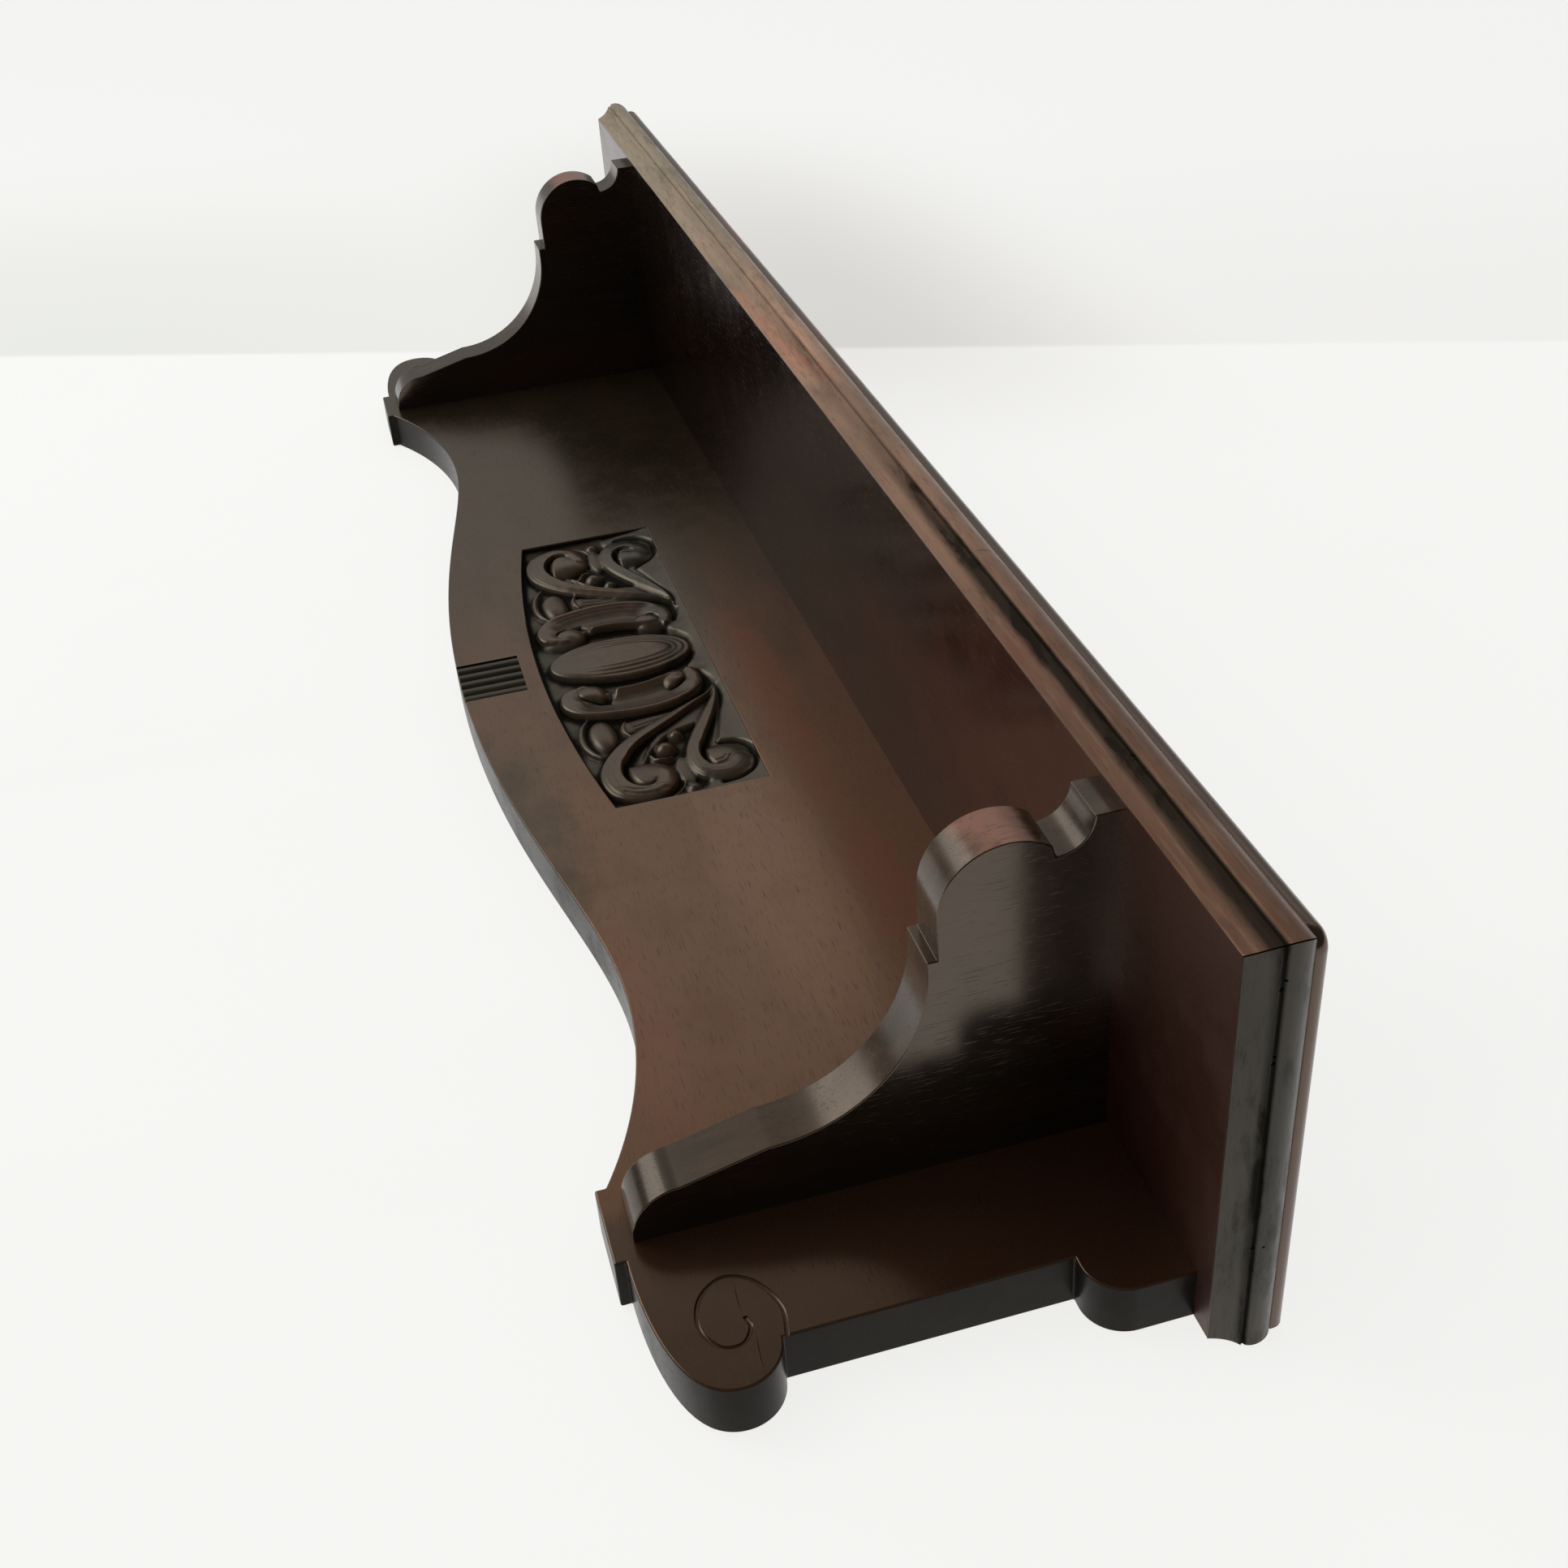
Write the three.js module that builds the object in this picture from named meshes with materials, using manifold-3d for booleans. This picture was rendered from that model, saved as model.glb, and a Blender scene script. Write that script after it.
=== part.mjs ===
// Wall shelf with a shaped, carved back board and two profiled brackets.
//
// Frame: millimetres. +X runs to the right along the shelf, +Y points into the wall and +Z up.
// The origin lies on the wall face, midway between the two wall screws that the shelf hangs on.
import * as THREE from 'three';
import { mergeVertices } from 'three/addons/utils/BufferGeometryUtils.js';
import Module from 'manifold-3d';

// Overall sizes
const underHalfLength = 400;
const underDepth = 137.2;
const hangDrop = 30;

// Boards
const backThickness = 18;
const coreThickness = 17.5;
const topThickness = 5;
const topOverhang = 3;
const topRound = 3.8;
const topCornerRadius = 5;

// Edge moulding: how far each part of its face stands out from the core, and how high it sits
const mouldLip = 0.6;
const coveReach = 5.6;
const coveHeight = 7.6;
const quirkDepth = 0.8;
const quirkHeight = 1;
const beadReach = 7.2;
const beadEnd = 3;
const mitreGap = 0.2;

// Brackets, set in from the ends and the front of the shelf
const bracketThickness = 17.6;
const bracketInset = 78.2;
const bracketPlace = underHalfLength - bracketInset;
const bracketSetback = 3.7;
const bracketReach = underDepth - bracketSetback;

// Outline of the back board, right half: the insets are taken from the shelf's end
const neckInset = 8;
const neckHalfLength = underHalfLength - neckInset;
const neckDrop = 16.6;
const neckRadius = 12.8;
const scrollInset = 23.7;
const endHalfLength = underHalfLength - scrollInset;
const scrollTop = -114.6;
const scrollRadius = 14;
const scrollStartAngle = 86;
const scrollEndAngle = -45;
const footLevel = -149.8;
const padDrop = 3.5;
const padHalfWidth = 15;
const crestInset = 99.8;
const crestPlace = bracketPlace - crestInset;
const crestLevel = -126.4;
const bellyLevel = -152.9;
const bellyFlat = 110;
const crestFlat = 52;

// Profile of a bracket: reaches are taken from the wall, levels from the underside
const shoulderHeight = 7;
const cavettoRadius = 11;
const lobeRadius = 20.5;
const lobeSetback = 23.2;
const lobeCentreReach = bracketReach - lobeSetback;
const lobeCentreLevel = -31.7;
const lobeEndAngle = 38;
const lobeHeel = 14.3;
const lobeStart = lobeCentreReach - lobeHeel;
const lobeStep = 3.2;
const sweepStand = 24;
const sweepFoot = backThickness + sweepStand;
const sweepRun = 5;
const sweepRadius = lobeStart - sweepFoot - sweepRun;
const ankleLevel = -131;
const ankleStand = 17.2;
const ankleReach = backThickness + ankleStand;
const ankleRadius = 15.2;

// Sunk panel of the back board
const panelHalfLength = 114.5;
const panelTop = -46.6;
const panelCorner = -107.6;
const panelBelly = -118.7;
const panelDepth = 6;
const panelChamfer = 3;

// Reeds cut up from the belly
const reedGrooves = 6;
const reedPitch = 6;
const reedGrooveWidth = 1.6;
const reedGrooveDepth = 1.4;
const reedTop = -126;

// Spiral line cut into each scrolled end, and the line that the carving keeps off the panel's walls
const spiralWidth = 1.3;
const carvingGap = 0.4;

// Wood screws
const screwRadius = 2;
const screwHeadRadius = 4;
const screwHeadDepth = 2.6;
const screwLength = 38;
const screwSlotWidth = 0.9;
const screwSlotDepth = 0.9;
const screwSeat = 0.4;
const screwClearance = 0.3;
const screwFacets = 14;
const bracketScrewLevels = [-40, -105];
const bracketScrewSetback = 25.5;
const bracketScrewReaches = [50, bracketReach - bracketScrewSetback];
const boardScrewInset = 50;
const boardScrewOuter = underHalfLength - boardScrewInset;
const boardScrewInner = 120;
const boardScrewPlaces = [-boardScrewOuter, -boardScrewInner, boardScrewInner, boardScrewOuter];

// Keyhole hanging plates, let in flush with the back
const plateSpan = 400;
const plateHalfWidth = 9;
const plateHalfHeight = 23;
const plateThickness = 2;
const plateFit = 0.3;
const keyEntryRadius = 5;
const keySlotRadius = 2.6;
const keyTravel = 12;
const pocketHalfWidth = 6.2;
const pocketDepth = 9;
const pocketRoom = 1.5;
const plateScrewRadius = 1.6;
const plateScrewHeadRadius = 3;
const plateScrewHeadDepth = 1.6;
const plateScrewLength = 13;
const plateScrewInset = 4.6;

// Fine pins that hold the mouldings, punched below the quirk
const pinRadius = 0.6;
const pinHeadRadius = 1.1;
const pinHeadDepth = 0.8;
const pinLength = 18;
const pinSink = 0.6;
const pinClearance = 0.15;
const frontPinInset = 80;
const frontPinSpan = 2 * (underHalfLength - frontPinInset);
const frontPins = 5;
const endPinSetback = 8.2;
const endPinReaches = [39, 105, underDepth - endPinSetback];

// How far cutters run past the faces that they open, and the facets of round holes
const cutOver = 1;
const holeFacets = 18;

const underside = hangDrop;
const coreTop = underside + coreThickness;
const plateCentre = -keyTravel / 2;
const wasm = await Module();
wasm.setup();

const mahogany = { color: 0x3a1d14, roughness: 0.34, metalness: 0 };
const redMahogany = { color: 0x4e251a, roughness: 0.32, metalness: 0 };
const darkMahogany = { color: 0x2c1812, roughness: 0.36, metalness: 0 };
const steel = { color: 0x77736c, roughness: 0.45, metalness: 0.9 };
const brass = { color: 0x9c7a3c, roughness: 0.4, metalness: 0.9 };

const shelf = new THREE.Group();

function addPiece(name, geometry, finish) {
  const mesh = new THREE.Mesh(geometry, new THREE.MeshStandardMaterial(finish));
  mesh.name = name;
  shelf.add(mesh);
}

// Keeps only positions, joins shared corners and turns the faces outward
function closed(geometry) {
  geometry.deleteAttribute('normal');
  geometry.deleteAttribute('uv');
  const merged = mergeVertices(geometry, 1e-4);
  const place = merged.attributes.position;
  const index = merged.index.array;
  const a = new THREE.Vector3();
  const b = new THREE.Vector3();
  const c = new THREE.Vector3();
  let volume = 0;
  for (let i = 0; i < index.length; i += 3) {
    a.fromBufferAttribute(place, index[i]);
    b.fromBufferAttribute(place, index[i + 1]);
    c.fromBufferAttribute(place, index[i + 2]);
    volume += a.dot(b.cross(c));
  }
  if (volume < 0) {
    for (let i = 0; i < index.length; i += 3) {
      const swap = index[i + 1];
      index[i + 1] = index[i + 2];
      index[i + 2] = swap;
    }
  }
  return merged;
}

function solidOf(geometry) {
  const merged = closed(geometry);
  const vertProperties = new Float32Array(merged.attributes.position.array);
  const triVerts = new Uint32Array(merged.index.array);
  return new wasm.Manifold(new wasm.Mesh({ numProp: 3, vertProperties, triVerts }));
}

function geometryOf(solid) {
  const mesh = solid.getMesh();
  const geometry = new THREE.BufferGeometry();
  geometry.setAttribute('position', new THREE.BufferAttribute(new Float32Array(mesh.vertProperties), 3));
  geometry.setIndex(new THREE.BufferAttribute(new Uint32Array(mesh.triVerts), 1));
  geometry.computeVertexNormals();
  return geometry;
}

// Moves every vertex to a place worked out from its own coordinates
function remap(geometry, placeOf) {
  const place = geometry.attributes.position;
  for (let i = 0; i < place.count; i += 1) {
    const [x, y, z] = placeOf(place.getX(i), place.getY(i), place.getZ(i));
    place.setXYZ(i, x, y, z);
  }
  return geometry;
}

function boxBetween(low, high) {
  const size = high.map((value, i) => value - low[i]);
  const geometry = new THREE.BoxGeometry(...size);
  return geometry.translate(...low.map((value, i) => value + size[i] / 2));
}

// A flat outline drawn in x and height, cut from the depth "from" to the depth "to" off the wall
function panelOf(outline, from, to, curveSegments = 10) {
  const options = { depth: to - from, bevelEnabled: false, curveSegments };
  return remap(new THREE.ExtrudeGeometry(outline, options), (x, z, depth) => [x, -(from + depth), z]);
}

// A round cutter that runs into the board from the wall side
function roundCutter(radius, depth, x, z) {
  const bar = new THREE.CylinderGeometry(radius, radius, depth, holeFacets);
  return solidOf(bar.translate(x, cutOver - depth / 2, z));
}

// Sizes of each kind of fastener; "above" is how far its hole runs out past the head
const fastenerKinds = {
  woodScrew: {
    radius: screwRadius, headRadius: screwHeadRadius, headDepth: screwHeadDepth, length: screwLength,
    clearance: screwClearance, above: screwSeat + cutOver, slotted: true, finish: steel,
  },
  plateScrew: {
    radius: plateScrewRadius, headRadius: plateScrewHeadRadius, headDepth: plateScrewHeadDepth,
    length: plateScrewLength, clearance: screwClearance, above: cutOver, slotted: true, finish: brass,
  },
  pin: {
    radius: pinRadius, headRadius: pinHeadRadius, headDepth: pinHeadDepth, length: pinLength,
    clearance: pinClearance, above: beadReach, slotted: false, finish: steel,
  },
};

// Which way each fastener is driven, as a turn of one drawn along -Z
const driven = {
  down: (geometry) => geometry,
  outward: (geometry) => geometry.rotateX(-Math.PI / 2),
  wallward: (geometry) => geometry.rotateX(Math.PI / 2),
  leftward: (geometry) => geometry.rotateY(Math.PI / 2),
  rightward: (geometry) => geometry.rotateY(-Math.PI / 2),
};

// Every screw and pin: its name, kind, direction and the centre of its head
const fasteners = [];
function addFastener(name, kind, direction, place) {
  fasteners.push({ name, kind, direction, place });
}

const pinLevel = underside + coveHeight + quirkHeight / 2;
const pinReach = coveReach - quirkDepth - pinSink;
for (const [side, sign] of [['left', -1], ['right', 1]]) {
  bracketScrewLevels.forEach((level, i) => {
    const place = [sign * bracketPlace, -screwSeat, underside + level];
    addFastener(`${side}_bracket_back_screw_${i + 1}`, 'woodScrew', 'outward', place);
  });
  bracketScrewReaches.forEach((reach, i) => {
    const place = [sign * bracketPlace, -reach, coreTop - screwSeat];
    addFastener(`${side}_bracket_top_screw_${i + 1}`, 'woodScrew', 'down', place);
  });
  [1, -1].forEach((end, i) => {
    const place = [sign * plateSpan / 2, 0, plateCentre + end * (plateHalfHeight - plateScrewInset)];
    addFastener(`${side}_plate_screw_${i + 1}`, 'plateScrew', 'outward', place);
  });
  endPinReaches.forEach((reach, i) => {
    const place = [sign * (underHalfLength + pinReach), -reach, pinLevel];
    addFastener(`${side}_end_pin_${i + 1}`, 'pin', sign > 0 ? 'leftward' : 'rightward', place);
  });
}
boardScrewPlaces.forEach((x, i) => {
  const place = [x, -backThickness / 2, coreTop - screwSeat];
  addFastener(`board_screw_${i + 1}`, 'woodScrew', 'down', place);
});
for (let i = 0; i < frontPins; i += 1) {
  const x = (i / (frontPins - 1) - 0.5) * frontPinSpan;
  addFastener(`front_pin_${i + 1}`, 'pin', 'wallward', [x, -underDepth - pinReach, pinLevel]);
}

// A round shank with a countersunk head and a pointed tip, turned about Z
function turned(profile, facets) {
  const points = profile.map(([r, z]) => new THREE.Vector2(r, z));
  return new THREE.LatheGeometry(points, facets).rotateX(Math.PI / 2);
}

function fastenerSolid(kind) {
  const { radius, headRadius, headDepth, length, slotted } = kind;
  const body = solidOf(turned([
    [0, -length], [radius, -length + 2 * radius], [radius, -headDepth], [headRadius, 0], [0, 0],
  ], screwFacets));
  if (!slotted) {
    return body;
  }
  const half = screwSlotWidth / 2;
  const slot = boxBetween([-headRadius, -half, -screwSlotDepth], [headRadius, half, cutOver]);
  return body.subtract(solidOf(slot));
}

function fastenerBore(kind) {
  const { radius, headRadius, headDepth, length, clearance, above } = kind;
  const shank = radius + clearance;
  const head = headRadius + clearance;
  return turned([
    [0, -length - clearance], [shank, -length + 2 * radius - clearance], [shank, -headDepth - clearance],
    [head, 0], [head, above], [0, above],
  ], screwFacets);
}

function bored(solid) {
  let result = solid;
  for (const { kind, direction, place } of fasteners) {
    const bore = driven[direction](fastenerBore(fastenerKinds[kind])).translate(...place);
    result = result.subtract(solidOf(bore));
  }
  return result;
}

// Back board outline, drawn for the right half and mirrored
function backOutline() {
  const right = [];
  const add = (x, z) => right.push(new THREE.Vector2(x, z));
  const arc = (cx, cz, radius, from, to, steps) => {
    for (let i = 0; i <= steps; i += 1) {
      const angle = THREE.MathUtils.degToRad(from + ((to - from) * i) / steps);
      add(cx + radius * Math.cos(angle), cz + radius * Math.sin(angle));
    }
  };
  add(neckHalfLength, 0);
  arc(neckHalfLength - neckRadius, -neckDrop, neckRadius, 0, -90, 8);
  add(endHalfLength, -neckDrop - neckRadius);
  const scrollX = endHalfLength - scrollRadius * Math.cos(THREE.MathUtils.degToRad(scrollStartAngle));
  const scrollZ = scrollTop - scrollRadius * Math.sin(THREE.MathUtils.degToRad(scrollStartAngle));
  arc(scrollX, scrollZ, scrollRadius, scrollStartAngle, scrollEndAngle, 12);
  const lobeEnd = right[right.length - 1];
  const padOuter = bracketPlace + padHalfWidth;
  const padInner = bracketPlace - padHalfWidth;
  const sole = new THREE.CubicBezierCurve(
    lobeEnd,
    new THREE.Vector2(lobeEnd.x - 0.6 * scrollRadius, footLevel + 0.2 * scrollRadius),
    new THREE.Vector2(padOuter + 1.3 * scrollRadius, footLevel),
    new THREE.Vector2(padOuter, footLevel),
  );
  sole.getPoints(9).slice(1).forEach((p) => add(p.x, p.y));
  add(padOuter, footLevel - padDrop);
  add(padInner, footLevel - padDrop);
  const run = padInner - crestPlace;
  const fall = crestLevel - footLevel;
  const crestRadius = (run * run + fall * fall) / (2 * fall);
  const endAngle = THREE.MathUtils.radToDeg(Math.asin(run / crestRadius));
  arc(crestPlace, crestLevel - crestRadius, crestRadius, 90 - endAngle, 90, 10);
  const wave = new THREE.CubicBezierCurve(
    new THREE.Vector2(crestPlace, crestLevel),
    new THREE.Vector2(crestPlace - crestFlat, crestLevel),
    new THREE.Vector2(bellyFlat, bellyLevel),
    new THREE.Vector2(0, bellyLevel),
  );
  wave.getPoints(20).slice(1).forEach((p) => add(p.x, p.y));
  const left = right.slice(0, -1).reverse().map((p) => new THREE.Vector2(-p.x, p.y));
  return new THREE.Shape(right.concat(left).map((p) => new THREE.Vector2(p.x, p.y + underside)));
}

// Outline of the sunk panel, whose lower edge bellies down; "grow" widens it all round
function panelOutline(grow) {
  const half = panelHalfLength + grow;
  const top = underside + panelTop + grow;
  const corner = underside + panelCorner - grow;
  const belly = underside + panelBelly - grow;
  const outline = new THREE.Shape();
  outline.moveTo(-half, top);
  outline.lineTo(-half, corner);
  outline.quadraticCurveTo(0, 2 * belly - corner, half, corner);
  outline.lineTo(half, top);
  outline.closePath();
  return outline;
}

// The sunk panel as a cutter, with its upper wall sloping out to the face of the board
function panelCutter() {
  const floor = backThickness - panelDepth;
  const cutter = solidOf(panelOf(panelOutline(0), floor, backThickness + cutOver, 16));
  const slopeHigh = underside + panelTop;
  const slope = new THREE.Shape();
  slope.moveTo(floor, slopeHigh - panelChamfer);
  slope.lineTo(backThickness + cutOver, slopeHigh + cutOver * panelChamfer / panelDepth);
  slope.lineTo(floor, slopeHigh + panelChamfer);
  slope.closePath();
  const wedge = new THREE.ExtrudeGeometry(slope, { depth: 1, bevelEnabled: false });
  const halfRun = panelHalfLength + cutOver;
  const bar = remap(wedge, (depth, z, run) => [(2 * run - 1) * halfRun, -depth, z]);
  return cutter.subtract(solidOf(bar));
}

// Scrolls of the carving, right half: centre line as x, height below the shelf and half width
const carvedScrolls = [
  [
    [24, -57.5, 4], [31, -55.5, 4.5], [37.5, -59.5, 5.5], [41.5, -70, 7], [42.3, -82, 7.2],
    [41, -94, 7], [36.5, -104.5, 6], [29.5, -109.5, 5], [24, -108, 4.5],
  ],
  [
    [40, -52.5, 1.6], [46, -58, 2.6], [51.5, -67, 3.2], [57, -79, 3.8], [64, -91, 4.3], [74, -100.5, 4.8],
    [86, -105.2, 4.6], [97, -104.3, 4.5], [105, -98, 4.3], [107.6, -89, 3.8], [104, -81.5, 3.2],
    [97, -79.5, 2.6],
  ],
  [
    [37, -51.5, 1.4], [46, -52.2, 2.4], [54, -55, 3.2], [64, -60.3, 3.6], [74, -65.6, 3.8], [85, -69, 3.6],
    [95, -69.2, 3.5], [102.5, -65.3, 3.3], [105.3, -58.5, 3], [102.5, -52.5, 2.6], [95.5, -50.8, 2.2],
  ],
];

// Rounded forms of the carving: x, height below the shelf, half width and half height
const carvedDomes = [
  [22.5, -62.5, 6.5, 6.5], [24.3, -103, 7, 7], [95.3, -88, 7.6, 7.6], [92.8, -57.7, 7, 7],
  [58.5, -101.5, 10.5, 5.2], [78.2, -79.5, 4.8, 4.8], [69.8, -73.2, 3.6, 3.6], [107, -74.8, 4.6, 4.6],
];
const bossHalfWidth = 17;
const bossHalfHeight = 31.5;
const bossLevel = -82.8;
const bossRings = [1, 0.78, 0.58];
const bossRise = [3.6, 4.6, 5.3];
const scrollRise = 3.6;
const scrollBevel = 1.2;
const domeRise = 4.6;

// A carved band: its outline follows the centre line at the half width given along it
function bandOutline(stations, side) {
  const centre = new THREE.CatmullRomCurve3(
    stations.map(([x, z, half]) => new THREE.Vector3(side * x, z + underside, half - scrollBevel / 2)),
  );
  const steps = 3 * (stations.length - 1);
  const near = [];
  const far = [];
  for (let i = 0; i <= steps; i += 1) {
    const p = centre.getPoint(i / steps);
    const t = centre.getTangent(i / steps).setZ(0).normalize();
    near.push(new THREE.Vector2(p.x - t.y * p.z, p.y + t.x * p.z));
    far.push(new THREE.Vector2(p.x + t.y * p.z, p.y - t.x * p.z));
  }
  return new THREE.Shape(near.concat(far.reverse()));
}

function raisedForm(outline, rise, bevel, segments) {
  const options = {
    depth: rise + cutOver - bevel, bevelEnabled: true, bevelThickness: bevel, bevelSize: bevel,
    bevelOffset: -bevel / 2, bevelSegments: segments, curveSegments: 18,
  };
  const root = backThickness - panelDepth - cutOver;
  const form = new THREE.ExtrudeGeometry(outline, options);
  return solidOf(remap(form, (x, z, depth) => [x, -(root + depth), z]));
}

function dome(x, z, halfWidth, halfHeight, rise) {
  const ball = new THREE.SphereGeometry(1, 12, 8);
  ball.scale(halfWidth, rise, halfHeight);
  return solidOf(ball.translate(x, -(backThickness - panelDepth), z + underside));
}

function carving() {
  const forms = [];
  bossRings.forEach((share, i) => {
    const oval = new THREE.Shape();
    oval.absellipse(0, underside + bossLevel, bossHalfWidth * share, bossHalfHeight * share, 0, 2 * Math.PI);
    forms.push(raisedForm(oval, bossRise[i], scrollBevel, 1));
  });
  for (const side of [-1, 1]) {
    carvedScrolls.forEach((stations) => {
      forms.push(raisedForm(bandOutline(stations, side), scrollRise, scrollBevel, 1));
    });
    carvedDomes.forEach(([x, z, halfWidth, halfHeight]) => {
      forms.push(dome(side * x, z, halfWidth, halfHeight, domeRise));
    });
  }
  return forms.reduce((whole, form) => whole.add(form));
}

// Reed grooves run up from the belly and stop square under the panel
function reedCutter() {
  let cutter = null;
  for (let i = 0; i < reedGrooves; i += 1) {
    const x = (i - (reedGrooves - 1) / 2) * reedPitch;
    const low = [x - reedGrooveWidth / 2, -backThickness - cutOver, underside + bellyLevel - cutOver];
    const high = [x + reedGrooveWidth / 2, -backThickness + reedGrooveDepth, underside + reedTop];
    const groove = solidOf(boxBetween(low, high));
    cutter = cutter ? cutter.add(groove) : groove;
  }
  return cutter;
}

// Turns of the spiral line, right end: distance in from the end and height below the shelf
const spiralTurns = [
  [-0.6, -113.2], [10.3, -112], [20.9, -117], [25.1, -125.2], [19.9, -133], [10.3, -135.5],
  [2.1, -131.6], [1.1, -125.4], [5.9, -121.8], [10, -122.6],
];

function spiralCutter(side) {
  const line = spiralTurns.map(([inward, z]) => (
    new THREE.Vector3(side * (endHalfLength - inward), -backThickness, z + underside)
  ));
  const section = new THREE.Shape();
  section.absarc(0, 0, spiralWidth / 2, 0, 2 * Math.PI);
  const options = {
    steps: 54, bevelEnabled: false, extrudePath: new THREE.CatmullRomCurve3(line), curveSegments: 3,
  };
  return solidOf(new THREE.ExtrudeGeometry(section, options));
}

function stadium(x, centre, halfWidth, halfHeight) {
  const straight = halfHeight - halfWidth;
  const outline = new THREE.Shape();
  outline.absarc(x, centre + straight, halfWidth, 0, Math.PI);
  outline.absarc(x, centre - straight, halfWidth, Math.PI, 2 * Math.PI);
  return outline;
}

// Room behind a hanging plate for the head of the wall screw
function pocketBox(x) {
  const low = -keyTravel - keyEntryRadius - pocketRoom;
  const high = keySlotRadius + pocketRoom;
  return boxBetween(
    [x - pocketHalfWidth, -plateThickness - pocketDepth, low],
    [x + pocketHalfWidth, cutOver, high],
  );
}

function backBoard() {
  const room = solidOf(panelOf(panelOutline(-carvingGap), 0, backThickness - carvingGap, 16));
  const relief = carving().intersect(room);
  let board = solidOf(panelOf(backOutline(), 0, backThickness));
  board = board.subtract(panelCutter()).add(relief).subtract(reedCutter());
  for (const side of [-1, 1]) {
    const x = side * plateSpan / 2;
    const bed = stadium(x, plateCentre, plateHalfWidth + plateFit, plateHalfHeight + plateFit);
    board = board.subtract(solidOf(panelOf(bed, -cutOver, plateThickness, 8)));
    board = board.subtract(solidOf(pocketBox(x)));
    board = board.subtract(spiralCutter(side));
  }
  return geometryOf(bored(board));
}

function hangingPlate(side) {
  const x = side * plateSpan / 2;
  const outline = stadium(x, plateCentre, plateHalfWidth, plateHalfHeight);
  let plate = solidOf(panelOf(outline, 0, plateThickness, 8));
  const through = plateThickness + 2 * cutOver;
  plate = plate.subtract(roundCutter(keyEntryRadius, through, x, -keyTravel));
  plate = plate.subtract(roundCutter(keySlotRadius, through, x, 0));
  const low = [x - keySlotRadius, -plateThickness - cutOver, -keyTravel];
  const slot = boxBetween(low, [x + keySlotRadius, cutOver, 0]);
  return geometryOf(bored(plate.subtract(solidOf(slot))));
}

// Bracket profile, drawn as distance from the wall and height below the shelf
function bracketOutline() {
  const outline = new THREE.Shape();
  const radians = THREE.MathUtils.degToRad;
  const shoulder = -shoulderHeight;
  const neck = bracketReach - cavettoRadius;
  const lobeEnd = radians(lobeEndAngle);
  outline.moveTo(backThickness, 0);
  outline.lineTo(backThickness, ankleLevel - ankleRadius);
  outline.lineTo(ankleReach - ankleRadius, ankleLevel - ankleRadius);
  outline.absarc(ankleReach - ankleRadius, ankleLevel, ankleRadius, radians(-90), 0, false);
  outline.lineTo(sweepFoot, ankleLevel);
  const sweepCentre = lobeCentreLevel - lobeRadius - lobeStep - sweepRadius;
  outline.absarc(sweepFoot + sweepRadius, sweepCentre, sweepRadius, radians(180), radians(90), true);
  outline.lineTo(lobeStart, sweepCentre + sweepRadius);
  outline.lineTo(lobeStart, lobeCentreLevel - lobeRadius);
  outline.absarc(lobeCentreReach, lobeCentreLevel, lobeRadius, radians(-90), lobeEnd, false);
  outline.lineTo(neck, shoulder - cavettoRadius);
  outline.absarc(bracketReach, shoulder - cavettoRadius, cavettoRadius, radians(180), radians(90), true);
  outline.lineTo(bracketReach, 0);
  outline.closePath();
  return outline;
}

function bracket(side) {
  const options = { depth: bracketThickness, bevelEnabled: false, curveSegments: 12 };
  const inner = side * bracketPlace - bracketThickness / 2;
  const blank = remap(
    new THREE.ExtrudeGeometry(bracketOutline(), options),
    (reach, z, across) => [inner + across, -reach, z + underside],
  );
  return geometryOf(bored(solidOf(blank)));
}

// Face of the edge moulding: a cove up to a quirk, then a bead that meets the top board
function mouldingProfile() {
  const profile = new THREE.Shape();
  profile.moveTo(0, 0);
  profile.lineTo(mouldLip, 0);
  profile.quadraticCurveTo(0.4 * coveReach, 0.74 * coveHeight, coveReach, coveHeight);
  profile.lineTo(coveReach - quirkDepth, coveHeight + 0.3 * quirkHeight);
  profile.lineTo(coveReach - quirkDepth, coveHeight + quirkHeight);
  const beadFoot = coveHeight + 1.2 * quirkHeight;
  profile.lineTo(coveReach, beadFoot);
  const beadHeight = coreThickness - beadFoot;
  profile.bezierCurveTo(
    beadReach, beadFoot + 0.16 * beadHeight,
    beadReach - 0.3, beadFoot + 0.74 * beadHeight,
    beadEnd, coreThickness,
  );
  profile.lineTo(0, coreThickness);
  profile.closePath();
  return profile;
}

function mouldingRun(placeOf) {
  const options = { depth: 1, bevelEnabled: false, curveSegments: 8 };
  const run = new THREE.ExtrudeGeometry(mouldingProfile(), options);
  return geometryOf(bored(solidOf(remap(run, placeOf))));
}

function frontMoulding() {
  const reachOf = (out) => underHalfLength + out - mitreGap;
  return mouldingRun((out, z, along) => [(2 * along - 1) * reachOf(out), -underDepth - out, underside + z]);
}

function endMoulding(side) {
  return mouldingRun((out, z, along) => [
    side * (underHalfLength + out), -along * (underDepth + out - mitreGap), underside + z,
  ]);
}

function shelfCore() {
  const core = boxBetween([-underHalfLength, -underDepth, underside], [underHalfLength, 0, coreTop]);
  return geometryOf(bored(solidOf(core)));
}

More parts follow.
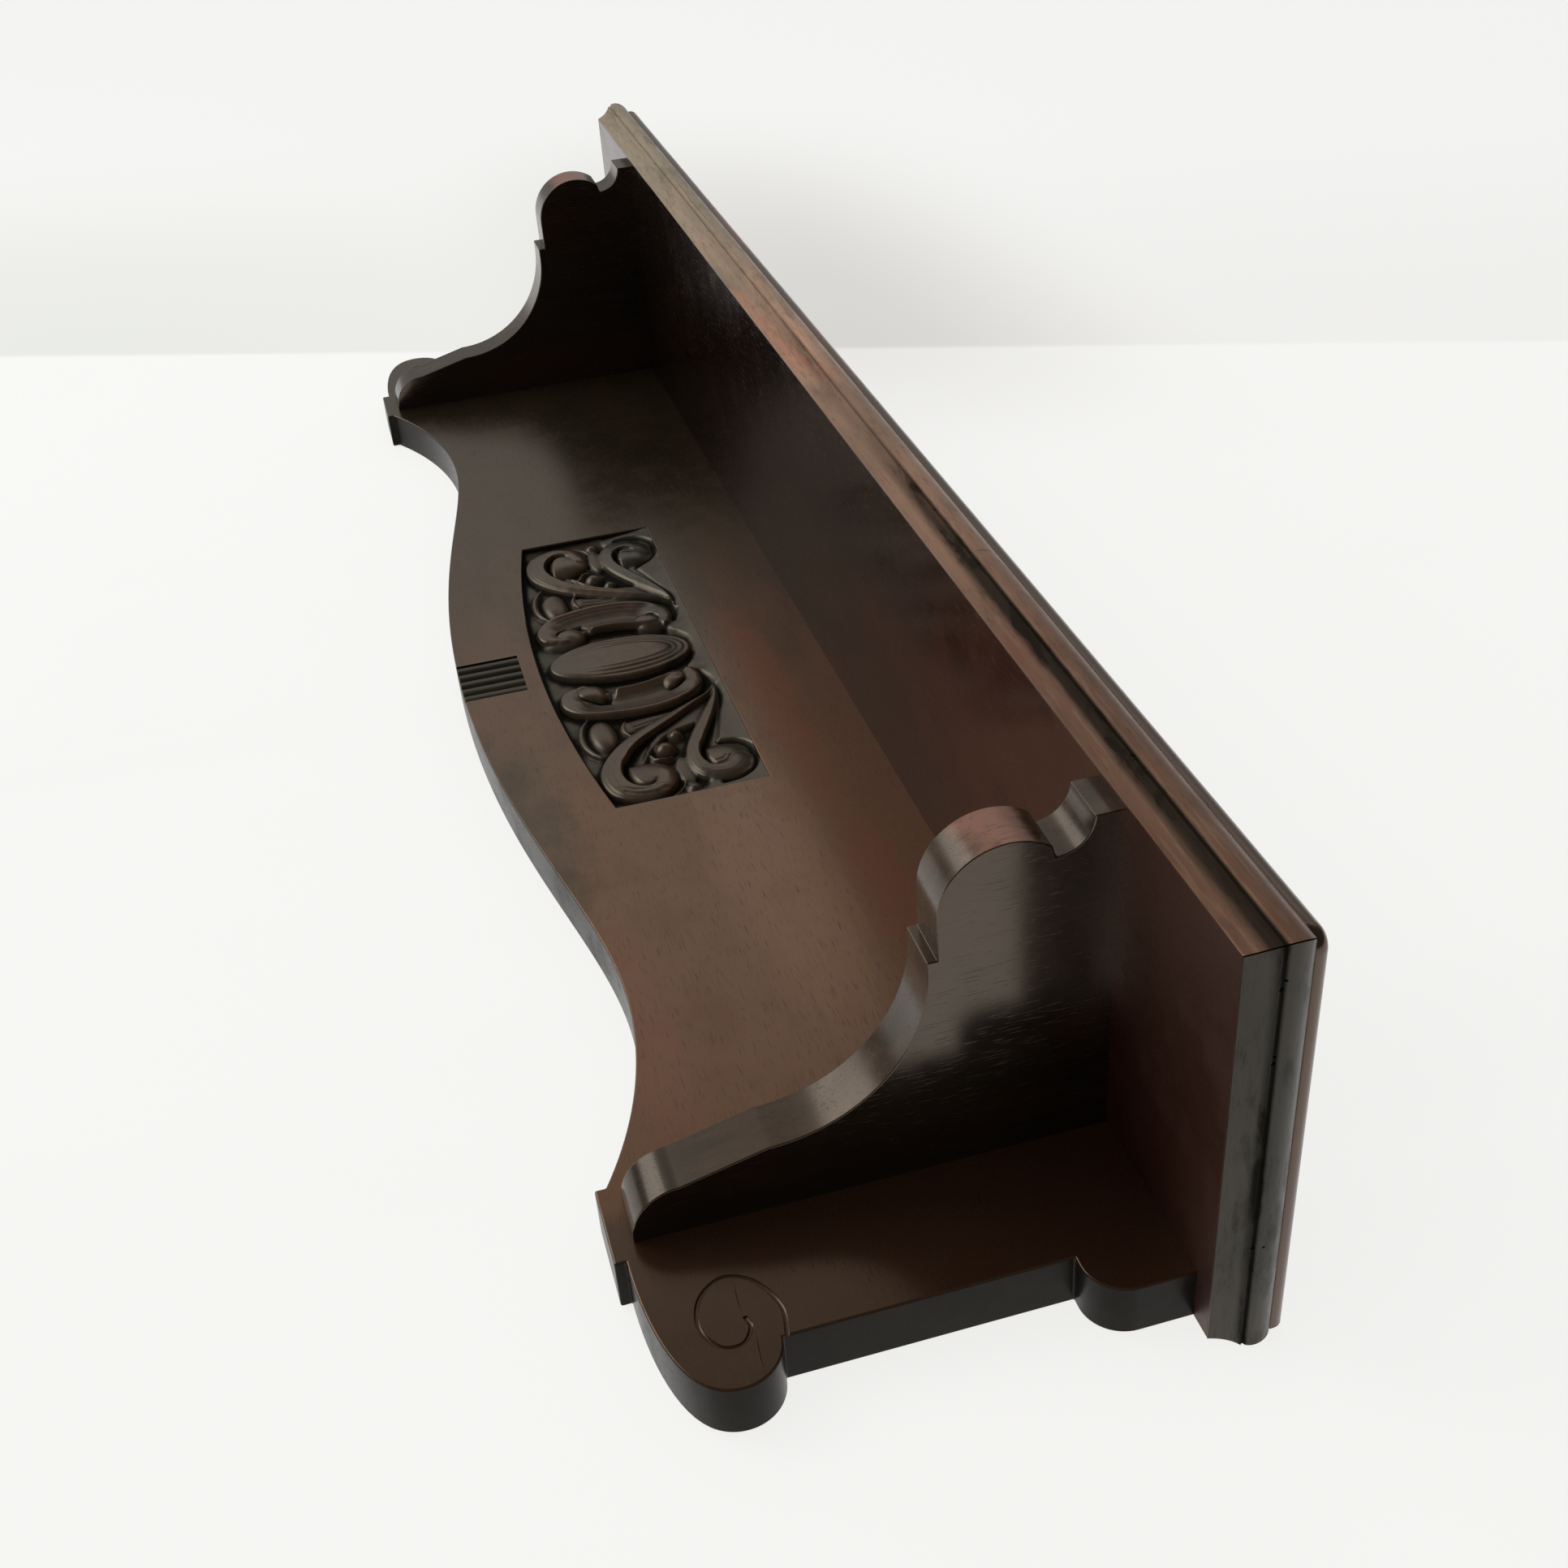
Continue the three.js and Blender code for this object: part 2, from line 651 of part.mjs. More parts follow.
// Thin top over the core and the mouldings, rounded along the front and both ends
function topBoard() {
  const half = underHalfLength + topOverhang;
  const front = -underDepth - topOverhang;
  const behind = 20;
  const r = topCornerRadius;
  const outline = new THREE.Shape();
  outline.moveTo(-half, behind);
  outline.lineTo(-half, front + r);
  outline.absarc(-half + r, front + r, r, Math.PI, 1.5 * Math.PI, false);
  outline.absarc(half - r, front + r, r, 1.5 * Math.PI, 2 * Math.PI, false);
  outline.lineTo(half, behind);
  outline.closePath();
  const options = {
    depth: topThickness, bevelEnabled: true, bevelThickness: topRound, bevelSize: topRound,
    bevelOffset: -topRound, bevelSegments: 5, curveSegments: 4,
  };
  const slab = new THREE.ExtrudeGeometry(outline, options).translate(0, 0, coreTop - topRound);
  const keep = boxBetween([-half - 1, front - 1, coreTop], [half + 1, 0, coreTop + topThickness + 1]);
  return geometryOf(solidOf(slab).intersect(solidOf(keep)));
}

addPiece('back_board', backBoard(), mahogany);
addPiece('shelf_board', shelfCore(), redMahogany);
addPiece('top_board', topBoard(), darkMahogany);
addPiece('front_moulding', frontMoulding(), redMahogany);
for (const [side, sign] of [['left', -1], ['right', 1]]) {
  addPiece(`${side}_end_moulding`, endMoulding(sign), darkMahogany);
  addPiece(`${side}_bracket`, bracket(sign), mahogany);
  addPiece(`${side}_hanging_plate`, hangingPlate(sign), brass);
}
for (const { name, kind, direction, place } of fasteners) {
  const blank = geometryOf(fastenerSolid(fastenerKinds[kind]));
  addPiece(name, driven[direction](blank).translate(...place), fastenerKinds[kind].finish);
}

export default shelf;
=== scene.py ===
# %% [markdown]
# # A carved mahogany wall shelf
#
# The real thing is a joiner's piece: a long shelf with a moulded edge, two sawn brackets and a shaped
# back board with a sunk, carved panel. This lesson dresses the measured model of it, piece by piece.
# Every board is made again with softened edges, the carving is worked out as a relief, and the
# polish is built from nodes. The scene is in metres and in the frame of the measured model: X runs
# along the shelf, Y points into the wall and Z up. The outlines are drawn in millimetres.

# %% Load the measured model
import math

import bmesh
import bpy
import numpy as np
from mathutils import Matrix, Vector


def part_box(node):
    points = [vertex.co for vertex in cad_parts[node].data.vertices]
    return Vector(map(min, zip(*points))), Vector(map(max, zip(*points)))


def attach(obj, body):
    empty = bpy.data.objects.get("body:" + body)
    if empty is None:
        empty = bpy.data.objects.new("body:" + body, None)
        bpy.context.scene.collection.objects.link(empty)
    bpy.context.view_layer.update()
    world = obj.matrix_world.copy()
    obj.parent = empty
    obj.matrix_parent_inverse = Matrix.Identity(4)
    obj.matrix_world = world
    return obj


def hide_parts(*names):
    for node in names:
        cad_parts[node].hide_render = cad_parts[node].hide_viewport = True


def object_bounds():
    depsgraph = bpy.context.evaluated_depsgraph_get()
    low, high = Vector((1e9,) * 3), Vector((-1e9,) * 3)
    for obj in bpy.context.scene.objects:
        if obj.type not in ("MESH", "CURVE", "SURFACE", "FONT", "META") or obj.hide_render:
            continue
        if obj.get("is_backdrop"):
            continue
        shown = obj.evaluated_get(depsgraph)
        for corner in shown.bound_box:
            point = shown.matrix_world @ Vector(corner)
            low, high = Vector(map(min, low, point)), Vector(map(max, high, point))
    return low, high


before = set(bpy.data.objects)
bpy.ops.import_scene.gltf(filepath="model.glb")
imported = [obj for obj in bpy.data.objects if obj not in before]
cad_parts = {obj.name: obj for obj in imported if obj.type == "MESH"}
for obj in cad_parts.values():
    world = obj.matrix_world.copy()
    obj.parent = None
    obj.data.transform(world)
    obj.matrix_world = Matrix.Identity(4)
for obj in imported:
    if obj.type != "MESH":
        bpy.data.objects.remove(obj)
measured_box = [list(corner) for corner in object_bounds()]
MM = 0.001
print("nodes loaded:", len(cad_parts))

# %% [markdown]
# ## Sizes
#
# The boards meet face to face, so most sizes can be read off the boxes of the measured pieces
# instead of being typed in again. What a box can't tell, such as the curve of the outline or the
# section of the moulding, is written below in millimetres, with heights counted from the
# underside of the shelf, because that is how the outlines were drawn.

# %% Sizes read off the measured pieces
sides = {"left": -1, "right": 1}


def middle(node):
    """Centre of a measured piece, in millimetres."""
    low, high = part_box(node)
    return [(a + b) / 2 / MM for a, b in zip(low, high)]


shelf_low, shelf_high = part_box("shelf_board")
half_length = shelf_high[0] / MM
depth = -shelf_low[1] / MM
underside = shelf_low[2] / MM
core_height = shelf_high[2] / MM - underside
back_thickness = -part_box("back_board")[0][1] / MM
bracket_place = middle("right_bracket")[0]
print("shelf %.1f x %.1f mm, boards %.1f and %.1f mm thick"
      % (2 * half_length, depth, core_height, back_thickness))

# %% [markdown]
# ## Small helpers for making boards
#
# A board is an outline with a thickness. Instead of a ready-made box, each one is lofted from
# rings of points, so the outline can be any curve. The arrises of real boards are never sharp:
# a plane or sandpaper takes them off, and polish gathers light there. A Bevel modifier does
# the same, and gives its narrow strips the second material, the rubbed arris.


# %% Lofting, softening and cutting
def placed(name, data):
    """A new object that stands in the scene."""
    thing = bpy.data.objects.new(name, data)
    bpy.context.collection.objects.link(thing)
    return thing


def solid(name, points, faces):
    """A closed mesh object with its faces turned outward."""
    work = bmesh.new()
    corners = [work.verts.new(point) for point in points]
    for face in faces:
        work.faces.new([corners[i] for i in face])
    bmesh.ops.remove_doubles(work, verts=work.verts, dist=1e-7)
    bmesh.ops.recalc_face_normals(work, faces=work.faces)
    mesh = bpy.data.meshes.new(name)
    work.to_mesh(mesh)
    work.free()
    return placed(name, mesh)


def loft(name, rings):
    """Joins rings of equally many points, given in millimetres, and caps both ends."""
    count = len(rings[0])
    last = (len(rings) - 1) * count
    faces = [tuple(range(count))]
    for first in range(0, last, count):
        for i in range(count):
            j = (i + 1) % count
            faces.append((first + i, first + j, first + count + j, first + count + i))
    faces.append(tuple(range(last, last + count)))
    points = [tuple(MM * value for value in point) for ring in rings for point in ring]
    return solid(name, points, faces)


def flatten(piece):
    """Turns a piece and its modifiers into one plain mesh."""
    graph = bpy.context.evaluated_depsgraph_get()
    mesh = bpy.data.meshes.new_from_object(piece.evaluated_get(graph))
    piece.modifiers.clear()
    piece.data = mesh
    return piece


def soften(piece, width, segments=2, angle=38):
    """Takes the arrises off, width in millimetres; the strips get the second material."""
    for name in ("body", "arris"):
        piece.data.materials.append(bpy.data.materials.get(name) or bpy.data.materials.new(name))
    bevel = piece.modifiers.new("arris", "BEVEL")
    bevel.width = width * MM
    bevel.segments = segments
    bevel.limit_method = "ANGLE"
    bevel.angle_limit = math.radians(angle)
    bevel.material = 1
    return flatten(piece)


def cut(piece, *cutters):
    """Takes the cutters out of a piece, one after the other."""
    for cutter in cutters:
        tool = piece.modifiers.new("cut", "BOOLEAN")
        tool.operation = "DIFFERENCE"
        tool.solver = "EXACT"
        tool.object = cutter
        flatten(piece)
        bpy.data.objects.remove(cutter)
    return piece


def round_cutter(radius, start, end, facets=24):
    """A round bar between two points in millimetres."""
    start, end = Vector(start), Vector(end)
    turn = (end - start).to_track_quat("Z", "Y")
    angles = [2 * math.pi * i / facets for i in range(facets)]
    spokes = [turn @ Vector((radius * math.cos(a), radius * math.sin(a), 0)) for a in angles]
    return loft("round cutter", [[centre + spoke for spoke in spokes] for centre in (start, end)])


def block(low, high):
    """A block between two corners in millimetres, to trim a piece flat."""
    (x1, y1, z1), (x2, y2, z2) = low, high
    return loft("block", [[(x1, y1, z), (x2, y1, z), (x2, y2, z), (x1, y2, z)] for z in (z1, z2)])


def crack_cutter(start, end, into, wide, facets=9):
    """A thin, slightly wavy split between two points on a surface, deepest in the middle; into is
    how far it runs into the wood, as a vector in millimetres."""
    start, end, into = Vector(start), Vector(end), Vector(into)
    across = (end - start).cross(into).normalized() * wide / 2
    rings = []
    for share in np.linspace(0, 1, facets):
        full = 0.12 + 0.88 * math.sin(math.pi * share)
        centre = start.lerp(end, share) + across * 0.8 * math.sin(9 * share)
        mouth = centre - into * 0.6
        rings.append([mouth - across * full, mouth + across * full, centre + into * full])
    return loft("crack cutter", rings)


def arc(centre_x, centre_z, radius, start, end, steps):
    """Points of an arc, angles in degrees."""
    angles = np.radians(np.linspace(start, end, steps + 1))
    return [(centre_x + radius * math.cos(a), centre_z + radius * math.sin(a)) for a in angles]


def bezier(a, b, c, d, steps):
    """Points of a cubic curve with the handles b and c."""
    t = np.linspace(0, 1, steps + 1)[:, None]
    a, b, c, d = (np.array(p, float) for p in (a, b, c, d))
    curve = (1 - t) ** 3 * a + 3 * t * (1 - t) ** 2 * b + 3 * t * t * (1 - t) * c + t ** 3 * d
    return [tuple(p) for p in curve]


print("helpers ready")

# %% [markdown]
# ## Node trees as plain Python
#
# A polish is a stack of small effects: stripes of growth, pores, stain, rubbed edges. Wiring
# them by hand hides the thought behind them. The first class below wraps a socket, so that
# `1 - pores * 0.5` adds the Math nodes by itself, and one method of the second makes any other
# node. The geometry trees further down are built with the same two classes.


# %% A socket that can be reckoned with
class Wire:
    """A value inside a node tree."""

    def __init__(self, tree, socket):
        self.tree, self.socket = tree, socket

    def reckon(self, operation, *items):
        return self.tree.node("ShaderNodeMath", {"operation": operation}, dict(enumerate(items)))

    def __add__(self, other):
        return self.reckon("ADD", self, other)

    def __sub__(self, other):
        return self.reckon("SUBTRACT", self, other)

    def __rsub__(self, other):
        return self.reckon("SUBTRACT", other, self)

    def __mul__(self, other):
        return self.reckon("MULTIPLY", self, other)

    def __truediv__(self, other):
        return self.reckon("DIVIDE", self, other)

    def least(self, other):
        return self.reckon("MINIMUM", self, other)

    __radd__ = __add__
    __rmul__ = __mul__


# %% A tree under construction
class Tree:
    """Makes the nodes of one tree; node() makes any kind."""

    def __init__(self, tree):
        self.tree = tree
        self.tree.nodes.clear()

    def node(self, kind, settings=None, sockets=None, output=0):
        """Type, settings (set first), then values or wires of its sockets by name or number; a
        list holds several wires for one socket."""
        node = self.tree.nodes.new(kind)
        for key, value in (settings or {}).items():
            setattr(node, key, value)
        for key, value in (sockets or {}).items():
            for item in value if isinstance(value, list) else [value]:
                if isinstance(item, Wire):
                    self.tree.links.new(item.socket, node.inputs[key])
                else:
                    node.inputs[key].default_value = item
        return Wire(self, node.outputs[output]) if node.outputs else None

    def parts(self, vector):
        """The three parts of a vector."""
        return [self.node("ShaderNodeSeparateXYZ", None, {"Vector": vector}, i) for i in range(3)]

    def rise(self, value, low, high):
        """0 below low, 1 above high, and a smooth step between them."""
        return self.node("ShaderNodeMapRange", {"interpolation_type": "SMOOTHSTEP"}, {
            "Value": value, "From Min": low, "From Max": high})

    def blend(self, share, a, b):
        """Colour a where share is 0, colour b where it is 1."""
        end_tones_and_painted_light = [end if isinstance(end, Wire) else (*end, 1) for end in (a, b)]
        return self.node("ShaderNodeMix", {"data_type": "RGBA"}, {0: share, 6: end_tones_and_painted_light[0], 7: end_tones_and_painted_light[1]}, 2)

    def mixed(self, share, a, b):
        """The same for two shaders."""
        return self.node("ShaderNodeMixShader", None, {0: share, 1: a, 2: b})


# %% A material under construction
# A dull dark coat, used for grime and for painted shade
grime_and_shade_look = {"Base Color": (0.006, 0.006, 0.004, 1), "Roughness": 0.6, "IOR": 1.07}


class Finish(Tree):
    """One material, with the patterns that it needs."""

    def __init__(self, name):
        self.material = bpy.data.materials.get(name) or bpy.data.materials.new(name)
        self.material.use_nodes = True
        super().__init__(self.material.node_tree)

    def spot(self):
        """Where the shaded point lies on the piece."""
        return self.node("ShaderNodeTexCoord", output=3)

    def stored(self, name):
        """A value kept on the points of the piece."""
        return self.node("ShaderNodeAttribute", {"attribute_name": name}, output=2)

    def stretched(self, vector, scale, shift=(0, 0, 0)):
        return self.node("ShaderNodeMapping", None, {"Vector": vector, "Scale": scale, "Location": shift})

    def noise(self, vector, scale, detail=3.0, rough=0.5, bend=0.0):
        """Soft noise; the scale is about the number of its clouds in a metre."""
        return self.node("ShaderNodeTexNoise", None, {
            "Vector": vector, "Scale": scale, "Detail": detail, "Roughness": rough, "Distortion": bend})

    def surface(self, sockets, height, lift, grime_and_shade=None):
        """Ends the material in one shader, with a bump from a height in 0 to 1 and its lift in
        metres; where grime_and_shade is 1, a dull dark coat covers it, as grime and as painted shade."""
        bump = self.node("ShaderNodeBump", None, {"Height": height, "Distance": lift, "Strength": 1.0})
        shader = self.node("ShaderNodeBsdfPrincipled", None, {**sockets, "Normal": bump})
        if grime_and_shade:
            dull_dark_coat = self.node("ShaderNodeBsdfPrincipled", None, {**grime_and_shade_look, "Normal": bump})
            shader = self.mixed(grime_and_shade, shader, dull_dark_coat)
        self.node("ShaderNodeOutputMaterial", None, {"Surface": shader})
        return self.material


print("node helpers ready")

# %% [markdown]
# ## The polish on mahogany
#
# The wood is straight-grained mahogany, stained dark and polished. Close up it shows short dark
# pores along the grain, from afar soft stripes, redder and browner patches where the stain took
# unevenly, and a pale rubbed line along the arrises. Grain is noise squeezed across the board and
# drawn out along it, so one function serves every board: it only needs the direction of the grain.
# The back face was never polished, so there the bare wood shows, dull and lighter. Some tones are
# painted light: the carving is darkened low down and in its hollows as painted shade and grime, the
# tones along the shelf are partly painted shade and reflection, and the clouds on the bracket lobes
# and the pale front arrises are partly painted highlights.

# %% Tones of the wood, and sheens of its polish
olive, brown, rust = (0.013, 0.01, 0.005), (0.027, 0.017, 0.0085), (0.1, 0.025, 0.011)
near_black, umber, plum = (0.003, 0.0026, 0.0016), (0.0075, 0.0055, 0.0036), (0.012, 0.004, 0.0024)
deep_red, wine = (0.004, 0.0018, 0.001), (0.009, 0.0035, 0.0018)
bare_dark, bare_pale = (0.06, 0.033, 0.018), (0.19, 0.112, 0.066)
clear_sheen, warm_sheen = (1, 0.92, 0.85), (1, 0.66, 0.5)

# How far grain and patches are drawn out, how fine each pattern is and how high the bump stands
grain_squeeze, patch_squeeze = 0.06, 0.28
stripe_scale, ribbon_scale, patch_scale, pore_scale, smear_scale = 260, 42, 24, 2000, 48
streak_scale, speck_scale, rub_scale = 620, 130, 130
polish_lift = 0.000014
print("tones ready")


# %% One function for every board
def squeezed(along, share):
    """The scale that draws a pattern out along one axis."""
    return tuple(share if axis == along else 1 for axis in "XYZ")


def mahogany(name, along, dark, mid, red, seed, worn=0.0, gloss=0.24, reddish=0.5, sheen=warm_sheen,
             strength=1.85, carved=False, stains_and_highlights=(), end_tones_and_painted_light=None, dull_dark_coat=None, spotty=0.3):
    """Grain along an axis; dark, mid and red are the tones, reddish the share of red patches and
    sheen the tint of the light that comes back through the polish. Stains and highlights are clouds
    at x, z with two half sizes and a tone, which is red if none is given; most are stains, and the ones
    on the bracket lobes are painted highlights. End tones are the tones towards the far and the near
    end of the shelf, where the near one sets in and is full, what follows from a last place on, and
    how dull it is there; they are partly the wood's own tone and partly painted shade and reflection.
    The dull dark coat lies in a band between two heights, and spotty is how much of it sits elsewhere.
    On the carving the colour is painted darker low down and in the hollows, as painted shade and grime."""
    finish = Finish(name)
    spot = finish.spot()
    x, y, z = finish.parts(spot)
    shift = (seed, 2 * seed, 3 * seed)
    grain = finish.stretched(spot, squeezed(along, grain_squeeze), shift)
    flow = finish.stretched(spot, squeezed(along, patch_squeeze), shift)
    drift = finish.stretched(spot, squeezed(along, patch_squeeze), (2 * seed, seed, seed))
    stripes = finish.noise(grain, stripe_scale, 4, 0.6, 0.4)
    ribbons = finish.noise(flow, ribbon_scale, 4, 0.55, 0.6)
    patches = finish.noise(drift, patch_scale, 4, 0.55, 0.7)
    pores = finish.rise(finish.noise(grain, pore_scale, 2, 0.55), 0.58, 0.68)
    pore_colour, pore_rough, pore_deep = (0.08, 0, 0.1) if carved else (0.4, 0.14, 0.3)
    smears = finish.noise(spot, smear_scale, 4, 0.6)

    # Stripes, red patches, the run of tones along the shelf, partly painted shade and reflection, and the
    # stains, some of them painted highlights
    colour = finish.blend(finish.rise(ribbons * 0.7 + stripes * 0.3, 0.36, 0.66), dark, mid)
    red_share = finish.rise(patches, 0.66 - 0.3 * reddish, 0.76 - 0.2 * reddish) * 0.8
    colour = finish.blend(red_share, colour, red)
    # The run of tones along the shelf: partly the wood's own, partly painted shade and reflection
    if end_tones_and_painted_light:
        far, near, start, full, last, stop, *dull = end_tones_and_painted_light
        colour = finish.blend(finish.rise(x * -1 + stripes * 0.1, 0, 0.35) * 0.8, colour, far)
        colour = finish.blend(finish.rise(x + ribbons * 0.2, start, full) * 0.85, colour, near)
        colour = finish.blend(finish.rise(x, stop, stop + 0.01) * 0.8, colour, last)
        for extra in dull:
            gloss = gloss + finish.rise(x, stop - 0.01, stop + 0.02) * extra
    # Stains, and painted highlights, as soft clouds
    for at_x, at_z, half, tall, *tone in stains_and_highlights:
        across, up = (x - at_x) / half, (z - at_z) / tall
        cloud = 1 - (across * across + up * up) + (smears - 0.5) * 1.6 + (stripes - 0.5) * 0.8
        colour = finish.blend(finish.rise(cloud, 0, 0.9) * 0.85, colour, tone[0] if tone else red)

    # A dull dark coat in the band of a moulding, thicker towards the near end, and in loose specks
    grime_and_shade = None
    if dull_dark_coat:
        streaks = finish.noise(grain, streak_scale, 3, 0.6)
        colour = finish.blend(finish.rise(streaks, 0.5, 0.66) * 0.4, colour, dark)
        low, high = dull_dark_coat
        grime_and_shade = finish.rise(z + (stripes - 0.5) * 0.003, low, low + 0.0032)
        grime_and_shade = grime_and_shade * (1 - finish.rise(z, high, high + 0.0009))
        grime_and_shade = grime_and_shade * (0.12 + finish.rise(x + (ribbons - 0.5) * 0.5, -0.1, 0.25) * 0.78)
        specks = finish.rise(finish.noise(flow, speck_scale, 5, 0.7), 0.5, 0.68)
        grime_and_shade = (grime_and_shade + specks * spotty * 0.7).least(0.95)

    # Pores, and the pale rubbed line of an arris, which is wear, and on the front moulding also a painted
    # highlight
    colour = finish.blend(pores * pore_colour, colour, tuple(0.3 * c for c in dark))
    rough = gloss + finish.rise(smears, 0.42, 0.75) * 0.35 * gloss + pores * pore_rough
    if worn:
        rubbed = finish.noise(spot, rub_scale, 4, 0.65)
        rubbed = finish.rise(rubbed, 0.62 - 0.2 * worn, 0.8 - 0.2 * worn)
        colour = finish.blend(rubbed * 0.75, colour, tuple(min(1, 3.2 * c + 0.02) for c in mid))
        rough = rough + rubbed * 0.08

    # Painted shade and grime: the carving's colour is painted darkest low down and in its hollows, where
    # shade falls; it is dullest there, and grime covers the hollows
    if carved:
        hollow, deep = finish.stored("hollow"), 1 - finish.stored("level")
        colour = finish.blend(finish.rise(stripes, 0.5, 0.66) * 0.45, colour, dark)
        colour = finish.blend((deep * 0.7 + hollow * 0.7).least(1), colour, near_black)
        rough = rough + deep * 0.2 + hollow * 0.2
        grime_and_shade = finish.rise(hollow + (smears - 0.5) * 0.3, 0.2, 0.56) * 0.95

    # Bare wood on the wall side
    behind = finish.rise(y, -0.0008, -0.0003)
    bare = finish.blend(finish.rise(stripes * 0.7 + ribbons * 0.3, 0.36, 0.64), bare_dark, bare_pale)
    return finish.surface({
        "Base Color": finish.blend(behind, colour, bare), "Roughness": rough + behind * 0.4,
        "IOR": strength, "Specular Tint": (*sheen, 1)},
        1 - pores * pore_deep + stripes * 0.04, polish_lift, grime_and_shade)


print("mahogany ready")

# %% Finishes of the boards
finishes = {
    # The back wood's tone is painted darker past the near bracket and towards the far end, as painted shade
    "back_wood": mahogany(
        "back wood", "X", olive, brown, rust, 3.1, reddish=0.0, sheen=(1, 0.7, 0.46), stains_and_highlights=(
            (0.12, -0.12, 0.09, 0.03, (0.006, 0.0055, 0.002)),
            (0.17, -0.03, 0.11, 0.028, (0.125, 0.056, 0.026)), (0.06, 0, 0.1, 0.013),
            (0.19, 0.004, 0.05, 0.012), (0.24, -0.095, 0.07, 0.014, (0.1, 0.03, 0.014))),
        end_tones_and_painted_light=((0.011, 0.0085, 0.004), (0.09, 0.031, 0.013), -0.03, 0.26, (0.008, 0.004, 0.0025), 0.315)),
    "back_arris": mahogany(
        "back arris", "X", olive, brown, brown, 3.1, worn=0.6, gloss=0.3, strength=1.5),
    "sawn_edge": mahogany(
        "sawn edge", "X", near_black, (0.012, 0.009, 0.006), umber, 2.7, gloss=0.28, sheen=(1, 0.9, 0.78),
        strength=1.22),
    "carved_wood": mahogany(
        "carved wood", "X", (0.01, 0.008, 0.0045), (0.04, 0.027, 0.015), (0.06, 0.027, 0.015), 5.3,
        gloss=0.25, sheen=(1, 0.86, 0.63), strength=1.74, carved=True),
    "reed_wood": mahogany(
        "reed wood", "Z", near_black, olive, brown, 3.1, gloss=0.3, sheen=(1, 0.84, 0.62), strength=1.6),
    "bracket_wood": mahogany(
        "bracket wood", "Z", near_black, umber, plum, 7.7, gloss=0.15, sheen=(1, 0.8, 0.62)),
    # The red cloud high on each bracket lobe is a painted highlight
    "bracket_edge": mahogany(
        "bracket edge", "Z", (0.014, 0.009, 0.005), (0.045, 0.024, 0.013), (0.24, 0.1, 0.065), 7.7,
        gloss=0.19, reddish=0.1, sheen=(1, 0.82, 0.64), strength=1.55,
        stains_and_highlights=[(sign * 0.322, -0.003, 0.03, 0.012) for sign in sides.values()]),
    "bracket_arris": mahogany("bracket arris", "Z", near_black, brown, brown, 7.7, worn=0.7, gloss=0.22),
    # The shelf's underside is painted darker towards the far end, as painted shade
    "shelf_wood": mahogany(
        "shelf wood", "X", deep_red, wine, (0.03, 0.007, 0.003), 1.9, reddish=0.1, gloss=0.16,
        sheen=(1, 0.56, 0.4), strength=1.6, stains_and_highlights=((0.25, -0.1, 0.1, 0.3),),
        end_tones_and_painted_light=((0.003, 0.002, 0.0012), (0.02, 0.005, 0.0025), 0.1, 0.45, (0.016, 0.004, 0.002), 0.335, 0.3)),
    "shelf_arris": mahogany("shelf arris", "X", umber, brown, rust, 1.9, worn=0.8),
    "top_wood": mahogany("top wood", "X", olive, brown, rust, 8.4, gloss=0.2, reddish=0.3),
    # The front moulding's pale tones stand partly for a painted highlight, and its run from a pale far end to
    # a dark red near end is partly painted reflection and shade
    "front_wood": mahogany(
        "front moulding wood", "X", (0.2, 0.115, 0.07), (0.44, 0.25, 0.155), (0.42, 0.15, 0.085), 4.6,
        reddish=0.4, gloss=0.36, sheen=(1, 0.66, 0.46), strength=1.55, dull_dark_coat=(0.033, 0.0384),
        end_tones_and_painted_light=((0.27, 0.24, 0.16), (0.065, 0.021, 0.008), 0.1, 0.42, rust, 0.5)),
    # The front arrises are pale partly from rubbing and partly as a painted highlight
    "front_arris": mahogany(
        "front moulding arris", "X", (0.26, 0.15, 0.1), (0.5, 0.33, 0.23), rust, 4.6, worn=1.0,
        gloss=0.36, sheen=(1, 0.74, 0.6), strength=1.6, dull_dark_coat=(0.0342, 0.0384)),
    "end_wood": mahogany(
        "end moulding wood", "Y", (0.014, 0.012, 0.008), (0.036, 0.027, 0.018), (0.06, 0.03, 0.017), 6.2,
        reddish=0.1, sheen=(1, 0.95, 0.84), gloss=0.3, strength=1.45, dull_dark_coat=(0.0352, 0.0384), spotty=0.5),
    "end_arris": mahogany("end moulding arris", "Y", umber, brown, brown, 6.2, worn=1.0, sheen=clear_sheen),
}
print("wood finishes:", len(finishes))

# %% [markdown]
# ## Brass and steel
#
# The two keyhole plates on the back are rolled brass gone dull, and the screws and pins are plain
# steel, kept on the dark side. Both have directional scratches in their roughness, and blotches
# where the metal has tarnished.


# %% Finish of the metals
scratch_lift = 0.00003


def metal(name, clean, tarnished, scratch_scale, seed):
    """Clean metal with tarnished clouds and scratches; both tones are colours."""
    finish = Finish(name)
    spot = finish.spot()
    clouds = finish.noise(finish.stretched(spot, (1, 1, 1), (seed, 0, 0)), 260, 4, 0.65)
    blotches = finish.rise(clouds, 0.45, 0.7)
    scratches = finish.noise(finish.stretched(spot, squeezed("Z", grain_squeeze)), scratch_scale, 3, 0.6)
    colour = finish.blend(blotches, clean, tarnished)
    rough = 0.3 + blotches * 0.22 + scratches * 0.14
    return finish.surface({
        "Base Color": colour, "Metallic": 1 - blotches * 0.25, "Roughness": rough}, scratches, scratch_lift)


finishes["plate_brass"] = metal("dull brass", (0.52, 0.36, 0.15), (0.2, 0.13, 0.06), 4200, 2.2)
finishes["screw_steel"] = metal("dull steel", (0.34, 0.32, 0.3), (0.13, 0.09, 0.07), 5200, 9.1)
print("finishes:", len(finishes))


